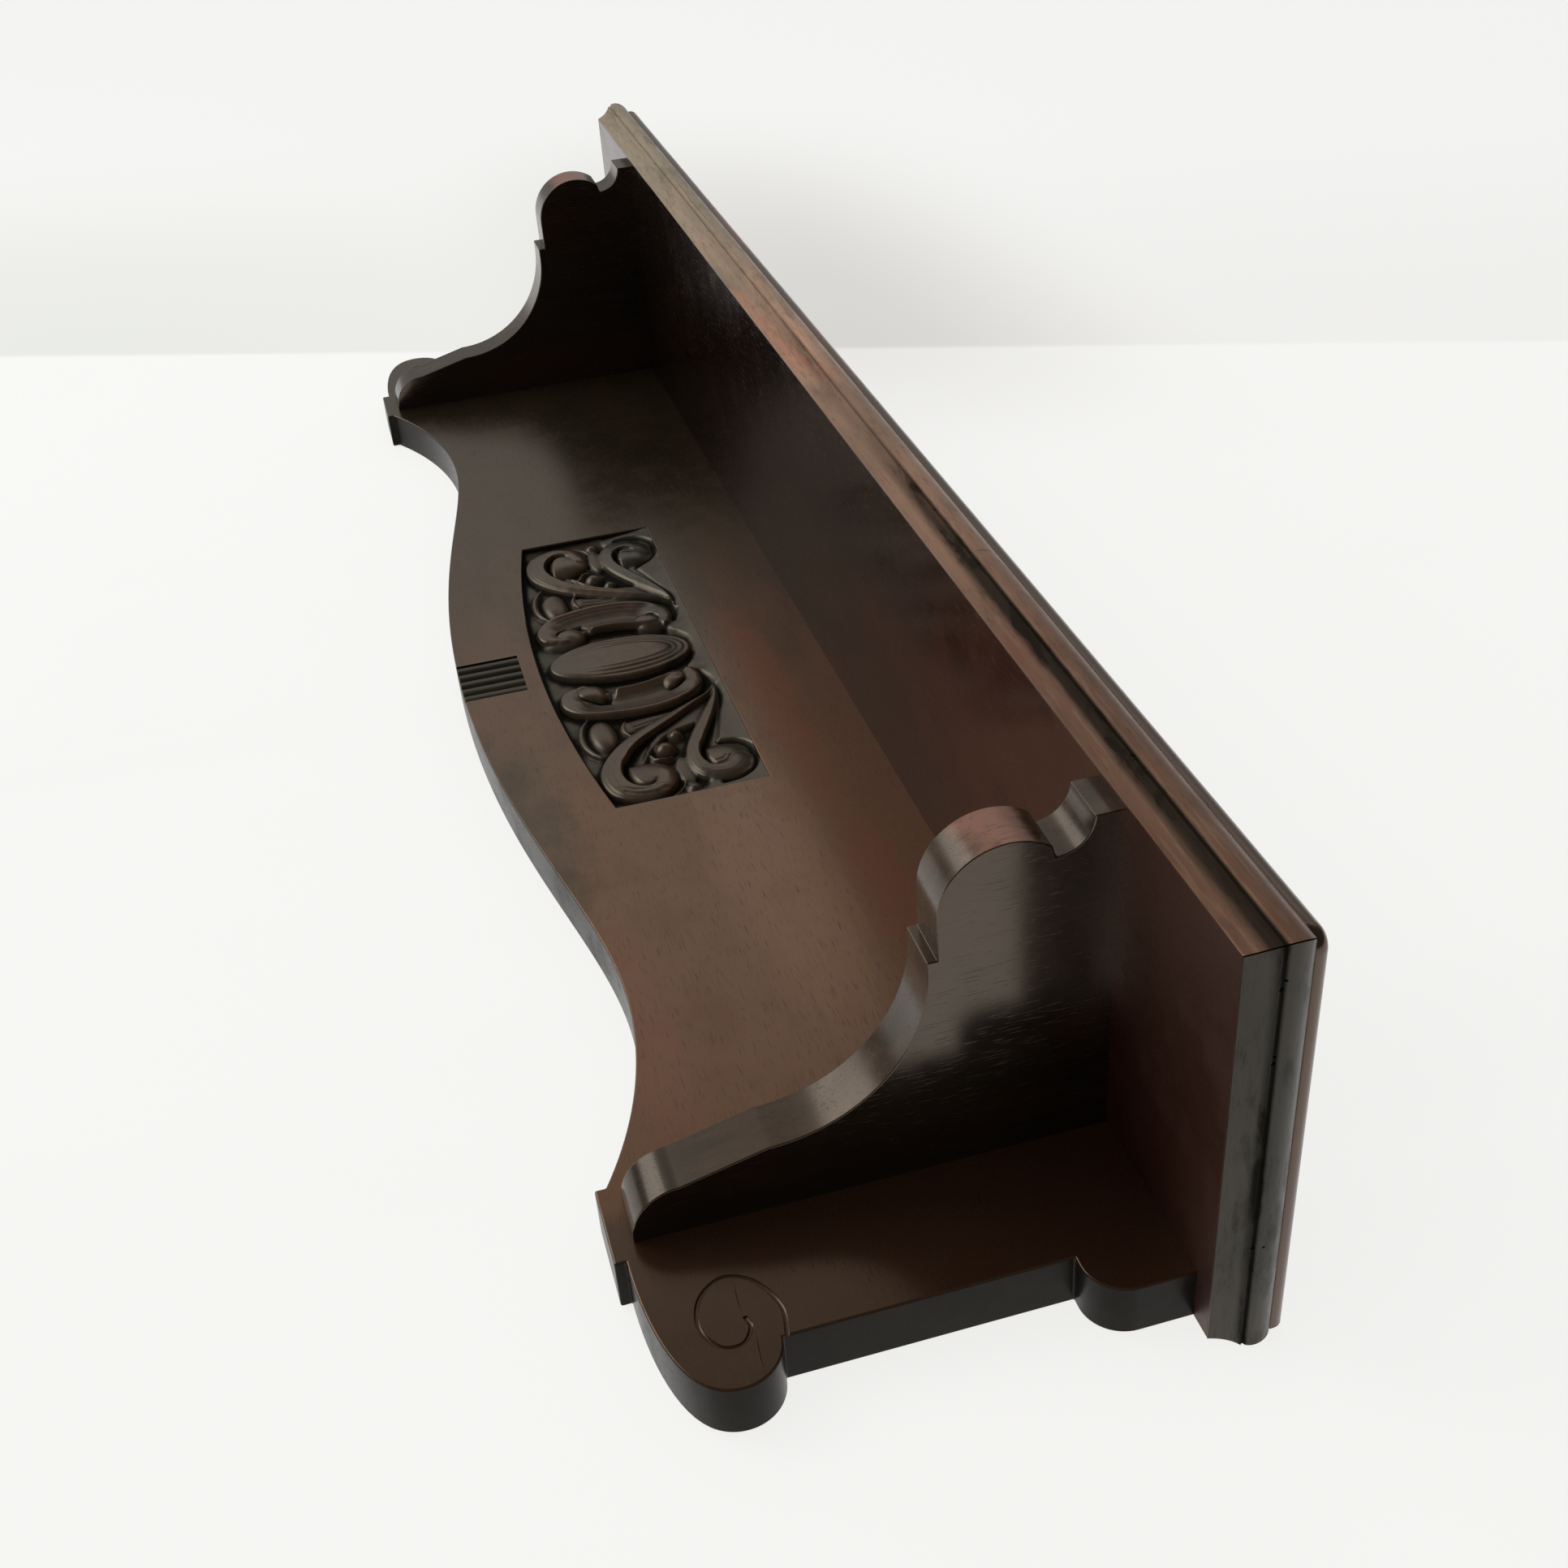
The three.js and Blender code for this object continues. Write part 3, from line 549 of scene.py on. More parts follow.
# %% Handing a finished piece to the model
def settle(piece, nodes, body, arris=None, edge=None, across=1, smooth_angle=32):
    """Smooths the shading, gives the finishes and hides the measured pieces it stands for. The
    edge finish goes on the sawn faces, which don't look along the axis across."""
    mesh = piece.data
    mesh.materials.clear()
    for name in (body, arris, edge):
        if name:
            mesh.materials.append(finishes[name])
    if edge:
        for face in mesh.polygons:
            if face.material_index == 0 and abs(face.normal[across]) < 0.3:
                face.material_index = 2
    mesh.shade_smooth()
    mesh.set_sharp_from_angle(angle=math.radians(smooth_angle))
    even = piece.modifiers.new("even shading", "WEIGHTED_NORMAL")
    even.keep_sharp = True
    flatten(piece)
    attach(piece, "root")
    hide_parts(*nodes)
    mesh = piece.data
    mesh.calc_loop_triangles()
    print("%-22s %7d triangles" % (piece.name, len(mesh.loop_triangles)))


# %% [markdown]
# ## The back board
#
# One board carries everything: its lower edge is sawn to a wave, small pads stand under the
# brackets, and each end curls into a scroll. The outline is drawn for the right half and mirrored,
# as a maker would with a folded paper pattern, from arcs and two easy curves. Levels are
# millimetres under the shelf.

# %% Outline of the back board
neck_half, neck_drop, neck_radius = half_length - 8, 16.6, 12.8
end_half, scroll_top, scroll_radius, scroll_start = half_length - 23.7, -114.6, 14, 86
foot_level, pad_drop, pad_half = -149.8, 3.5, 15
crest_level, belly_level = -126.4, -152.9
crest_place, crest_pull, belly_pull = bracket_place - 99.8, 52, 110


def back_outline():
    """The whole outline, in x and z, from the right end of the joint round to the left one."""
    pad_outer, pad_inner = bracket_place + pad_half, bracket_place - pad_half
    right = [(neck_half, 0)] + arc(neck_half - neck_radius, -neck_drop, neck_radius, 0, -90, 14)
    right.append((end_half, -neck_drop - neck_radius))
    start = math.radians(scroll_start)
    scroll_x = end_half - scroll_radius * math.cos(start)
    scroll_z = scroll_top - scroll_radius * math.sin(start)
    right += arc(scroll_x, scroll_z, scroll_radius, scroll_start, -45, 26)
    lobe = right[-1]
    right += bezier(lobe, (lobe[0] - 0.6 * scroll_radius, foot_level + 0.2 * scroll_radius),
                    (pad_outer + 1.3 * scroll_radius, foot_level), (pad_outer, foot_level), 14)[1:]
    right += [(pad_outer, foot_level - pad_drop), (pad_inner, foot_level - pad_drop)]
    run, fall = pad_inner - crest_place, crest_level - foot_level
    radius = (run * run + fall * fall) / (2 * fall)
    sweep = math.degrees(math.asin(run / radius))
    right += arc(crest_place, crest_level - radius, radius, 90 - sweep, 90, 22)
    right += bezier((crest_place, crest_level), (crest_place - crest_pull, crest_level),
                    (belly_pull, belly_level), (0, belly_level), 40)[1:]
    return right + [(-x, z) for x, z in right[-2::-1]]


outline = back_outline()
print("outline of %d points" % len(outline))

# %% [markdown]
# ## Cuts into the back board
#
# The sunk panel is a pocket with upright walls at its ends and along its bellied lower edge, and
# the rim of the pocket is eased. The spiral in each scroll and the keyhole beds at the back are cut
# too, as a carver would cut them after the outline is sawn. Each cutter is its own solid, and a
# Boolean modifier takes it out, fine old cracks as well. The pocket goes deeper than the eye sees,
# because the carving is a solid of its own that fills the bottom of it.

# %% The pocket of the panel
panel_half, panel_top, panel_corner, panel_belly = 114.5, -46.6, -107.6, -118.7
panel_depth, pocket_floor = 6, 10


def panel_foot(x):
    """Height of the panel's lower edge below the shelf."""
    share = (x / panel_half + 1) / 2
    return panel_corner + 4 * share * (1 - share) * (panel_belly - panel_corner)


def panel_ring(out, level, count=60):
    """The panel's outline, widened by out, at a level off the wall."""
    half = panel_half + out
    ring = [(x, panel_foot(x * panel_half / half) - out) for x in np.linspace(-half, half, count)]
    ring += [(half, panel_top + out), (-half, panel_top + out)]
    return [(x, -level, z + underside) for x, z in ring]


levels = [(0, back_thickness - pocket_floor), (0, back_thickness - 0.7), (0.16, back_thickness - 0.25),
          (0.55, back_thickness), (0.55, back_thickness + 1)]
panel_cutter = loft("panel cutter", [panel_ring(out, level) for out, level in levels])
print("panel cutter made")

# %% The spirals
spiral_turns = [(-0.6, -113.2), (10.3, -112), (20.9, -117), (25.1, -125.2), (19.9, -133), (10.3, -135.5),
                (2.1, -131.6), (1.1, -125.4), (5.9, -121.8), (10, -122.6)]


def eased(stations, steps):
    """A smooth line through stations of any width, as an array."""
    line = np.array(stations, float)
    line = np.vstack([2 * line[0] - line[1], line, 2 * line[-1] - line[-2]])
    out = []
    for i in range(1, len(line) - 2):
        a, b, c, d = line[i - 1:i + 3]
        for t in np.arange(steps) / steps:
            out.append(0.5 * (2 * b + (c - a) * t + (2 * a - 5 * b + 4 * c - d) * t ** 2
                              + (3 * b - a - 3 * c + d) * t ** 3))
    out.append(line[-2])
    return np.array(out)


def groove_cutter(line, level, radius, facets=10):
    """A round cutter dragged along a line on the face of the board."""
    ahead = np.gradient(line, axis=0)
    ahead /= np.linalg.norm(ahead, axis=1)[:, None]
    rings = []
    for (x, z), (tx, tz) in zip(line, ahead):
        ring = []
        for k in range(facets):
            angle = 2 * math.pi * k / facets
            across, out = radius * math.cos(angle), radius * math.sin(angle)
            ring.append((x - tz * across, -level + out, z + tx * across + underside))
        rings.append(ring)
    return loft("groove cutter", rings)


spirals = []
for sign in sides.values():
    line = eased(spiral_turns, 14)
    line[:, 0] = sign * (end_half - line[:, 0])
    spirals.append(groove_cutter(line, back_thickness + 0.1, 0.75))
print("spiral cutters:", len(spirals))

# %% The keyhole beds, the screw pockets and the countersunk holes at the back
plate_low, plate_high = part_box("right_hanging_plate")
plate_place, _, plate_centre = middle("right_hanging_plate")
plate_half, plate_tall = ((plate_high[i] - plate_low[i]) / 2 / MM for i in (0, 2))
plate_thick = -plate_low[1] / MM


def stadium(x, z, half, tall, steps=14):
    """An upright outline with round ends."""
    straight = tall - half
    return arc(x, z + straight, half, 0, 180, steps) + arc(x, z - straight, half, 180, 360, steps)


def from_back(outline_points, deep, name):
    """An outline in x and z, cut in from the wall side."""
    return loft(name, [[(x, -level, z) for x, z in outline_points] for level in (-1, deep)])


def sunk_hole(x, z, head, shank, seat, head_deep, deep):
    """A countersunk hole in from the wall side; head and shank are radii."""
    spokes = np.linspace(0, 2 * math.pi, 28, endpoint=False)
    steps = [(-1, head), (seat, head), (seat + head_deep, shank), (deep, shank)]
    return loft("sunk hole", [[(x + radius * math.cos(a), -level, z + radius * math.sin(a)) for a in spokes]
                              for level, radius in steps])


play, pocket_half, pocket_low, pocket_high, pocket_deep = 0.25, 6.2, -12.5, 10.1, 9
back_cutters = [panel_cutter, *spirals]
for name in sorted(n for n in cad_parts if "bracket_back_screw" in n):
    x, _, z = middle(name)
    back_cutters.append(sunk_hole(
        x, z, head=4.25, shank=2.3, seat=0.45, head_deep=2.6, deep=back_thickness + 1))
for sign in sides.values():
    x = sign * plate_place
    bed = stadium(x, plate_centre, plate_half + play, plate_tall + play)
    back_cutters.append(from_back(bed, plate_thick, "plate bed"))
    pocket = [(x + across * pocket_half, plate_centre + up) for across, up in (
        (-1, pocket_low), (1, pocket_low), (1, pocket_high), (-1, pocket_high))]
    back_cutters.append(from_back(pocket, plate_thick + pocket_deep, "screw pocket"))
print("cutters of the back board:", len(back_cutters))

# %% The reeds' bed and the board itself
reed_top, reed_pitch, reed_count, reed_deep = -126, 6.1, 5, 1.7
reed_half = reed_pitch * reed_count / 2
reed_bed = block((-reed_half, -back_thickness - 1, belly_level - 2 + underside),
                 (reed_half, -back_thickness + reed_deep, reed_top + underside))

# The board is drawn a little too tall, softened, and trimmed flat at the joint under the shelf
hidden, joint, spare = 0.75, -0.01, 20
board = loft("back_board_wood", [
    [(x, -level, z + underside + (hidden if z > joint else 0)) for x, z in outline]
    for level in (0, back_thickness)])
soften(board, 0.7, 3)
crack_deep, crack_wide = 0.45, 0.3
crack_places = ((353, -122.6, 366, -123.2), (371, -121, 387, -122.4), (365, -147.6, 379, -147.4),
                (343.4, -46.2, 351.4, -47.6))
cracks = [crack_cutter((x1, -back_thickness, z1 + underside), (x2, -back_thickness, z2 + underside),
                       (0, crack_deep, 0), crack_wide) for x1, z1, x2, z2 in crack_places]
cut(board, *back_cutters, reed_bed, *cracks,
    block((-half_length - spare, -depth, underside), (half_length + spare, spare, underside + spare)))
settle(board, ["back_board"], "back_wood", "back_arris", "sawn_edge")

# %% [markdown]
# ## The reeds
#
# Five rounded reeds stand side by side under the panel, cut from the same board. They repeat at an
# even pitch, so Geometry Nodes set one bar on every point of a row. The bar is an oval rod, sunk
# in the board to its middle. Its width, length and crown are named inputs of the tree.


# %% A geometry tree with named inputs
class Grower(Tree):
    """Takes points and makes a piece on each of them; the kind of an input follows its value."""

    def __init__(self, name, values):
        super().__init__(bpy.data.node_groups.new(name, "GeometryNodeTree"))
        self.inputs = {}
        self.add_input("Geometry", "Geometry")
        self.add_input("Finish", "Material")
        for key, value in values.items():
            self.add_input(key, "Bool" if isinstance(value, bool) else "Float").default_value = value
        self.tree.interface.new_socket("Geometry", in_out="OUTPUT", socket_type="NodeSocketGeometry")
        self.start = self.tree.nodes.new("NodeGroupInput")
        self.end = self.tree.nodes.new("NodeGroupOutput")

    def add_input(self, name, kind):
        socket = self.tree.interface.new_socket(name, in_out="INPUT", socket_type="NodeSocket" + kind)
        self.inputs[name] = socket.identifier
        return socket

    def given(self, name):
        return Wire(self, self.start.outputs[name])

    def vector(self, x=0.0, y=0.0, z=0.0):
        return self.node("ShaderNodeCombineXYZ", None, {0: x, 1: y, 2: z})

    def close(self, instance, rotation=(0, 0, 0)):
        """Sets the instance on every point, makes it real and paints it."""
        copies = self.node("GeometryNodeInstanceOnPoints", None, {
            "Points": self.given("Geometry"), "Instance": instance, "Rotation": rotation})
        whole = self.node("GeometryNodeRealizeInstances", None, {0: copies})
        painted = self.node("GeometryNodeSetMaterial", None, {0: whole, "Material": self.given("Finish")})
        self.tree.links.new(painted.socket, self.end.inputs[0])


def grown(name, points, grower, values, turns=None):
    """Runs a tree on points in millimetres and keeps the result as a plain mesh."""
    seed = bpy.data.meshes.new(name)
    seed.from_pydata([tuple(MM * v for v in p) for p in points], [], [])
    if turns:
        store = seed.attributes.new("turn", "FLOAT_VECTOR", "POINT")
        store.data.foreach_set("vector", [angle for turn in turns for angle in turn])
    piece = placed(name, seed)
    modifier = piece.modifiers.new("grow", "NODES")
    modifier.node_group = grower.tree
    for key, value in values.items():
        modifier[grower.inputs[key]] = value
    return flatten(piece)


print("geometry helpers ready")

# %% A tree that sets one reed on every point, and the five reeds
reeds = Grower("reeds on points", {"Width": 0.006, "Length": 0.026, "Crown": 0.0016})
rod = reeds.node("GeometryNodeMeshCylinder", {"fill_type": "NGON"}, {
    "Vertices": 40, "Radius": 0.5, "Depth": 1.0})
shape = reeds.vector(reeds.given("Width"), reeds.given("Crown") * 2, reeds.given("Length"))
reeds.close(reeds.node("GeometryNodeTransform", None, {0: rod, "Scale": shape}))
reed_length = reed_top - belly_level - 0.35
points = [((i - (reed_count - 1) / 2) * reed_pitch, -back_thickness + reed_deep - 0.1,
           reed_top - reed_length / 2 + underside) for i in range(reed_count)]
reed_piece = grown("carved_reeds", points, reeds, {
    "Width": 0.98 * reed_pitch * MM, "Length": reed_length * MM, "Crown": (reed_deep - 0.2) * MM,
    "Finish": finishes["back_wood"]})
settle(reed_piece, ["back_board"], "reed_wood", smooth_angle=50)

# %% [markdown]
# ## The carving as a relief
#
# The panel holds a tall boss between two C-scrolls, and long S-scrolls that end in volutes, heads
# that curl like a comma round a hooked groove. Modelling each leaf by hand is one way; here every
# form is a rule on a fine grid, which keeps the whole carving exact and mirrored. A band follows a
# line and has a section on either side of it, a dome is a rounded mound, and a valley is cut into
# whatever stands there. The highest form wins at each point, just as a carver leaves the highest
# wood standing. The grid is worked for one half, on the distance from the middle.

# %% Grid of the relief
columns, rows, gap = 556, 168, 0.03
x_line = np.linspace(-panel_half + gap, panel_half - gap, columns)
share = np.linspace(0, 1, rows)[:, None]
foot = panel_foot(x_line)[None, :] + gap
grid_x = np.repeat(x_line[None, :], rows, axis=0)
grid_z = foot + share * (panel_top - gap - foot)
side_x = np.abs(grid_x)
print("relief grid %d x %d" % (columns, rows))


# %% Bands, domes, valleys and veins
def smooth_step(value):
    value = np.clip(value, 0, 1)
    return value * value * (3 - 2 * value)


def nearest(stations, steps=22):
    """Signed distance of each grid point to an eased line (left of its run is positive), the line's
    other columns at the nearest place, and how far along the line that is, from 0 to 1."""
    line = eased(stations, steps)
    ahead = np.gradient(line[:, :2], axis=0)
    spacing = np.linalg.norm(ahead, axis=1)
    ahead /= spacing[:, None]
    flat = np.stack([side_x.ravel(), grid_z.ravel()], axis=1)
    distance, pick = np.empty(len(flat)), np.empty(len(flat), int)
    for start in range(0, len(flat), 5000):
        part = slice(start, start + 5000)
        gap = flat[part, None, :] - line[None, :, :2]
        near = np.argmin((gap ** 2).sum(axis=2), axis=1)
        gap = gap[np.arange(near.size), near]
        across = ahead[near, 0] * gap[:, 1] - ahead[near, 1] * gap[:, 0]
        past = np.abs((ahead[near] * gap).sum(axis=1)) - 0.6 * spacing[near]
        distance[part] = np.where(across < 0, -1, 1) * np.hypot(across, np.maximum(past, 0))
        pick[part] = near
    others = [line[pick, k].reshape(side_x.shape) for k in range(2, line.shape[1])]
    return distance.reshape(side_x.shape), others, (pick / (len(line) - 1)).reshape(side_x.shape)


def band(stations, right, left, wall=1.1):
    """Stations hold x, z, the widths to the right and left and a share of the height; the two
    sections run from the line (0) to the edge (1), in millimetres."""
    distance, (to_right, to_left, rise), _ = nearest(stations)
    width = np.maximum(np.where(distance > 0, to_left, to_right), 0.15)
    across = np.abs(distance) / width
    level = np.where(distance > 0, np.interp(across, *zip(*left)), np.interp(across, *zip(*right)))
    return level * rise * smooth_step((width + 0.5 * wall - np.abs(distance)) / wall)


def ridge(stations, rise):
    """A plain rounded band: stations hold x, z and half the width."""
    rounded = [(0, rise), (0.5, 0.88 * rise), (1, 0.5 * rise)]
    return band([(x, z, half, half, 1) for x, z, half in stations], rounded, rounded)


def dome(x, z, half, tall, rise, power=0.5):
    """A mound on an oval foot; a power under 0.5 gives it a flatter top."""
    away = ((side_x - x) / half) ** 2 + ((grid_z - z) / tall) ** 2
    return rise * np.clip(1 - away, 0, 1) ** power


def merged(first, second, soft=0.7):
    """The higher of two fields, with the line where they meet eased out."""
    return (first + second + np.sqrt((first - second) ** 2 + soft ** 2) - soft) / 2


def valley(field, stations, bends=(1, 1), brim=6.0, flat=0.2):
    """Cuts a valley: stations hold x, z, the widths to the right and left and the floor's level;
    a bend under 1 rounds the side over, so that a ball seems to stand there."""
    distance, (to_right, to_left, floor), _ = nearest(stations)
    away = np.abs(distance) / np.maximum(np.where(distance > 0, to_left, to_right), 0.2)
    rise = np.clip((away - flat) / (1 - flat), 0, 1) ** np.where(distance > 0, bends[1], bends[0])
    return np.where(away < 1, np.minimum(field, floor + (brim - floor) * rise), field)


def vein(field, stations, width, deep):
    """A fine groove in whatever stands there."""
    distance, _, _ = nearest(stations)
    return np.where(field > 0.6, field - deep * np.exp(-(distance / width) ** 2), field)


def side_veins(field, stations, places, deep, width, fade):
    """Fine grooves that run beside a line at set shares of a width, and die out at its ends;
    stations hold x, z and that width, which is negative to the right."""
    distance, (reach,), run = nearest(stations)
    strength = deep * smooth_step(run / fade[0]) * smooth_step((1 - run) / fade[1])
    for place in places:
        field = field - strength * np.exp(-((distance - place * reach) / width) ** 2)
    return field


def blurred(field, times):
    """Each round gives a point the mean of itself and its neighbours."""
    for _ in range(times):
        padded = np.pad(field, 1, mode="edge")
        field = (padded[:-2, 1:-1] + padded[2:, 1:-1] + padded[1:-1, :-2] + padded[1:-1, 2:] + 2 * field) / 6
    return field


print("relief rules ready")

# %% Ground between the forms
fork_x = (46, 51, 56.4, 61.4, 66, 70.8, 76, 83)
fork_z = (-56.5, -61.4, -68, -75, -81.4, -85, -87.6, -90.4)
above_fork = grid_z > np.interp(side_x, fork_x, fork_z)
relief = np.full(side_x.shape, 1.7)
relief -= 0.6 * smooth_step((27.5 - side_x) / 2) * smooth_step((grid_z + 99) / 6)
pocket_edge = np.interp(-grid_z, (60, 72, 76, 80, 86, 92), (62, 65, 66.5, 70, 77, 86))
web = 1.2 + 2.2 * smooth_step((pocket_edge + 1.2 - side_x) / 2.4)
relief = np.where(above_fork & (side_x > 44) & (side_x < 88), web, relief)
relief = np.maximum(relief, dome(95, -75.6, 11, 4.2, 3.9, 0.18))
end_rise = 3.9 + 1.0 * smooth_step((grid_z + 84) / 26)
relief = np.maximum(relief, end_rise - 0.3 * (panel_half - side_x))
print("ground %.1f to %.1f mm" % (relief.min(), relief.max()))

# %% The C-scrolls: a wide scoop inside a rounded rim
c_line = [
    (24.6, -59.4, 5.2), (27.2, -59.7, 6.9), (29.8, -61.5, 9.4), (32, -65.2, 11.4), (34, -70.3, 12.4),
    (35.6, -76, 12.7), (36.2, -83, 12.7), (35.8, -90, 12.5), (34.4, -97.4, 12.4), (32.9, -101.6, 12),
    (30.4, -104.8, 10.8), (27.6, -105.9, 9), (25.6, -105.2, 7), (24, -103.8, 4.6)]
lip_z = (-98, -92, -89.5, -85, -80, -75, -71, -67, -63)
lip_x = (27.2, 26.6, 26.8, 26.8, 26.5, 25.4, 24, 23.2, 23.4)
rim = [(0, 3), (0.12, 3.15), (0.3, 3.7), (0.5, 4.6), (0.66, 5.35), (0.76, 5.75), (0.83, 5.85), (0.9, 5.65),
       (1, 4.9)]
curled = [(0, 2.2), (0.05, 3.6), (0.11, 4.9), (0.2, 5.45), (0.4, 5.75), (0.65, 5.75), (0.88, 5.3), (1, 4.6)]
_, _, run = nearest([station[:2] for station in c_line])
curl = np.maximum(smooth_step((0.3 - run) / 0.14), smooth_step((run - 0.66) / 0.12))
c_band = [(x, z, 0.3, out, 1) for x, z, out in c_line]
plain, rounded = (band(c_band, [(0, 3), (1, 2.8)], shape) for shape in (rim, curled))
relief = np.maximum(relief, plain + (rounded - plain) * curl)
relief = side_veins(relief, c_line, (0.52, 0.66, 0.93), 0.2, 0.45, (0.3, 0.36))
lip = np.interp(grid_z, lip_z, lip_x)
deep = np.interp(grid_z, [z for _, z, _ in c_line[8:1:-1]], [x for x, _, _ in c_line[8:1:-1]])
across = np.clip((deep - side_x) / (deep - lip), 0, 1)
scoop = 3 + 2.9 * np.interp(across, (0, 0.2, 0.45, 0.7, 0.86, 1), (0, 0.06, 0.26, 0.66, 1, 1))
scoop = scoop * smooth_step((side_x - lip + 0.6) / 1.1) * (side_x < deep + 0.6)
scoop = scoop * smooth_step((grid_z + 95.4) / 2.4) * (grid_z < -61)
relief = np.maximum(relief, scoop)
for head, ball in (((27, -62.4, 9.4, 9.6, 5.75, 0.32), (26.8, -65, 7.8, 6.8, 5.95, 0.4)),
                   ((26.2, -104, 9.6, 10.8, 5.75, 0.32), (26.2, -100.4, 8, 7.4, 5.95, 0.4))):
    relief = np.maximum(relief, merged(dome(*head), dome(*ball)))
relief = valley(relief, [
    (24.6, -59.6, 0.8, 0.6, 5.2), (28, -60.1, 1.4, 0.7, 4), (31, -62, 2.2, 0.8, 2.8),
    (32.8, -65, 2.6, 0.9, 2.4), (33, -68, 2.6, 1.2, 2.6)], (0.5, 0.8))
relief = valley(relief, [
    (25.4, -106, 0.6, 0.6, 5.2), (28, -105.9, 0.7, 1.2, 4), (30.6, -104.2, 0.8, 2.2, 2.6),
    (32.4, -101.2, 0.9, 3, 1.6), (33.6, -97.8, 1, 3.2, 1.1), (33.4, -94.8, 1, 2.6, 1.2),
    (31.4, -92.8, 0.9, 1.8, 1.4), (28, -91.8, 0.9, 1.6, 1.6), (24.6, -91.8, 0.9, 1.6, 1.6)], (0.8, 0.5))
print("C-scrolls: highest %.1f mm" % relief.max())

# %% The S-scrolls: a pale band with a sharp arris, and a flute beside it
lower_line = [
    (40, -51, 1.2, 0.3), (45, -54.2, 2.2, 0.5), (50, -60.5, 3.9, 0.8), (55, -67, 5.4, 1.1),
    (60, -73.7, 6.4, 1.3), (65, -81, 7.1, 1.6), (70, -88, 7.6, 3), (75, -93, 8.1, 4.8), (80, -96.1, 8.9, 6.3),
    (85, -98.3, 9.7, 7.3), (90, -99.4, 10.3, 7.8), (95.2, -99.2, 10.5, 8), (99.6, -97.6, 10.4, 6),
    (102.5, -94.3, 9.3, 4), (102.8, -90.6, 8.5, 2), (100.6, -87.4, 7.4, 1), (97, -86.2, 6.6, 0.5)]
upper_line = [
    (36, -50, 0.9, 0.3), (42.5, -50.4, 2.1, 0.8), (50, -51.9, 3.8, 1.5), (60, -55.5, 5.8, 2.4),
    (66, -58.3, 6.4, 3.3), (72, -61.2, 6.8, 4.3), (80, -64.9, 7, 5.2), (86, -66.7, 7.1, 5),
    (90.2, -67.1, 7.2, 4), (94.5, -66.4, 8, 3), (97.9, -64, 9.4, 2), (98.7, -60.6, 10, 1.5),
    (96.6, -57.8, 9.4, 1)]
stem = [(0, 5.75), (0.06, 5.95), (0.3, 5.95), (0.5, 5.75), (0.7, 5.3), (0.88, 4.6), (1, 3.8)]
flute = [(0, 1.1), (0.4, 1.1), (0.8, 1.45), (1, 1.8)]
for line, floors, fade in (
        (lower_line, (4.8, 4.2, 3.6, 3, 2.4, 2, 1.8, 1.6, 1.4, 1.2, 1.1, 1, 1, 1, 1, 1, 1), (0.1, 0.5)),
        (upper_line, (4.8, 4.4, 3.8, 3.2, 2.7, 2.4, 2.1, 1.8, 1.5, 1.4, 1.3, 1.3, 1.3), (0.1, 0.4))):
    beside = [(x, z, 0.4, left, floor) for (x, z, _, left), floor in zip(line, floors)]
    relief = np.maximum(relief, band(beside, [(0, 1), (1, 1)], flute))
    laid = band([(x, z, right, 0.1, 1) for x, z, right, _ in line], stem, [(0, 5.75), (1, 5.75)], 0.7)
    veined = side_veins(laid, [(x, z, -right) for x, z, right, _ in line], (0.4, 0.62, 0.8), 0.22, 0.45, fade)
    relief = np.maximum(relief, np.where(laid > 3, veined, laid))
print("S-scrolls laid")

# %% The volutes: a comma head, a ball in it and a hooked groove round the ball
for head, ball in (((97.4, -94, 13.8, 16, 5.7, 0.28), (95.4, -88.6, 10.4, 9.6, 5.95, 0.34)),
                   ((94.8, -61, 13.8, 12.8, 5.7, 0.28), (91.4, -57.6, 9.8, 9.2, 5.95, 0.34))):
    relief = np.maximum(relief, merged(dome(*head), dome(*ball), 1.2))
relief = valley(relief, [
    (83.5, -98, 0.5, 3.6, 1.1), (88, -99.2, 0.6, 4.4, 1.2), (93, -99.5, 0.7, 4.6, 1.4),
    (98, -98.3, 0.7, 4, 1.8), (101.5, -95.8, 0.7, 3.2, 2.4), (102.9, -92.6, 0.6, 2.4, 3.0),
    (102, -89.8, 0.6, 1.6, 3.8), (99.7, -88.3, 0.6, 0.9, 5)], (1, 0.45))
relief = valley(relief, [
    (81.5, -65.5, 0.5, 3, 1.5), (86, -66.8, 0.6, 3.8, 1.6), (90.5, -67.1, 0.7, 3.6, 1.9),
    (94.6, -66.3, 0.7, 3, 2.5), (97.6, -64.1, 0.6, 2, 3.4), (98.6, -61.4, 0.5, 1.2, 4.8)], (1, 0.45))
relief = valley(relief, [
    (81.2, -60, 2.4, 1.2, 3.6), (82, -56.4, 2.4, 1.2, 3.8), (85, -51.8, 2.4, 1.2, 4),
    (89.8, -48.9, 2.2, 0.9, 4.2), (95.8, -48, 2, 0.8, 4.2), (102, -48.7, 2.2, 0.9, 4),
    (106.8, -51.8, 2.4, 1.2, 3.8), (109.2, -57.4, 2.4, 1.4, 3.6), (109.4, -62.4, 2.2, 1, 3.6)],
    (0.55, 1), brim=5.8, flat=0.1)
print("volutes cut")

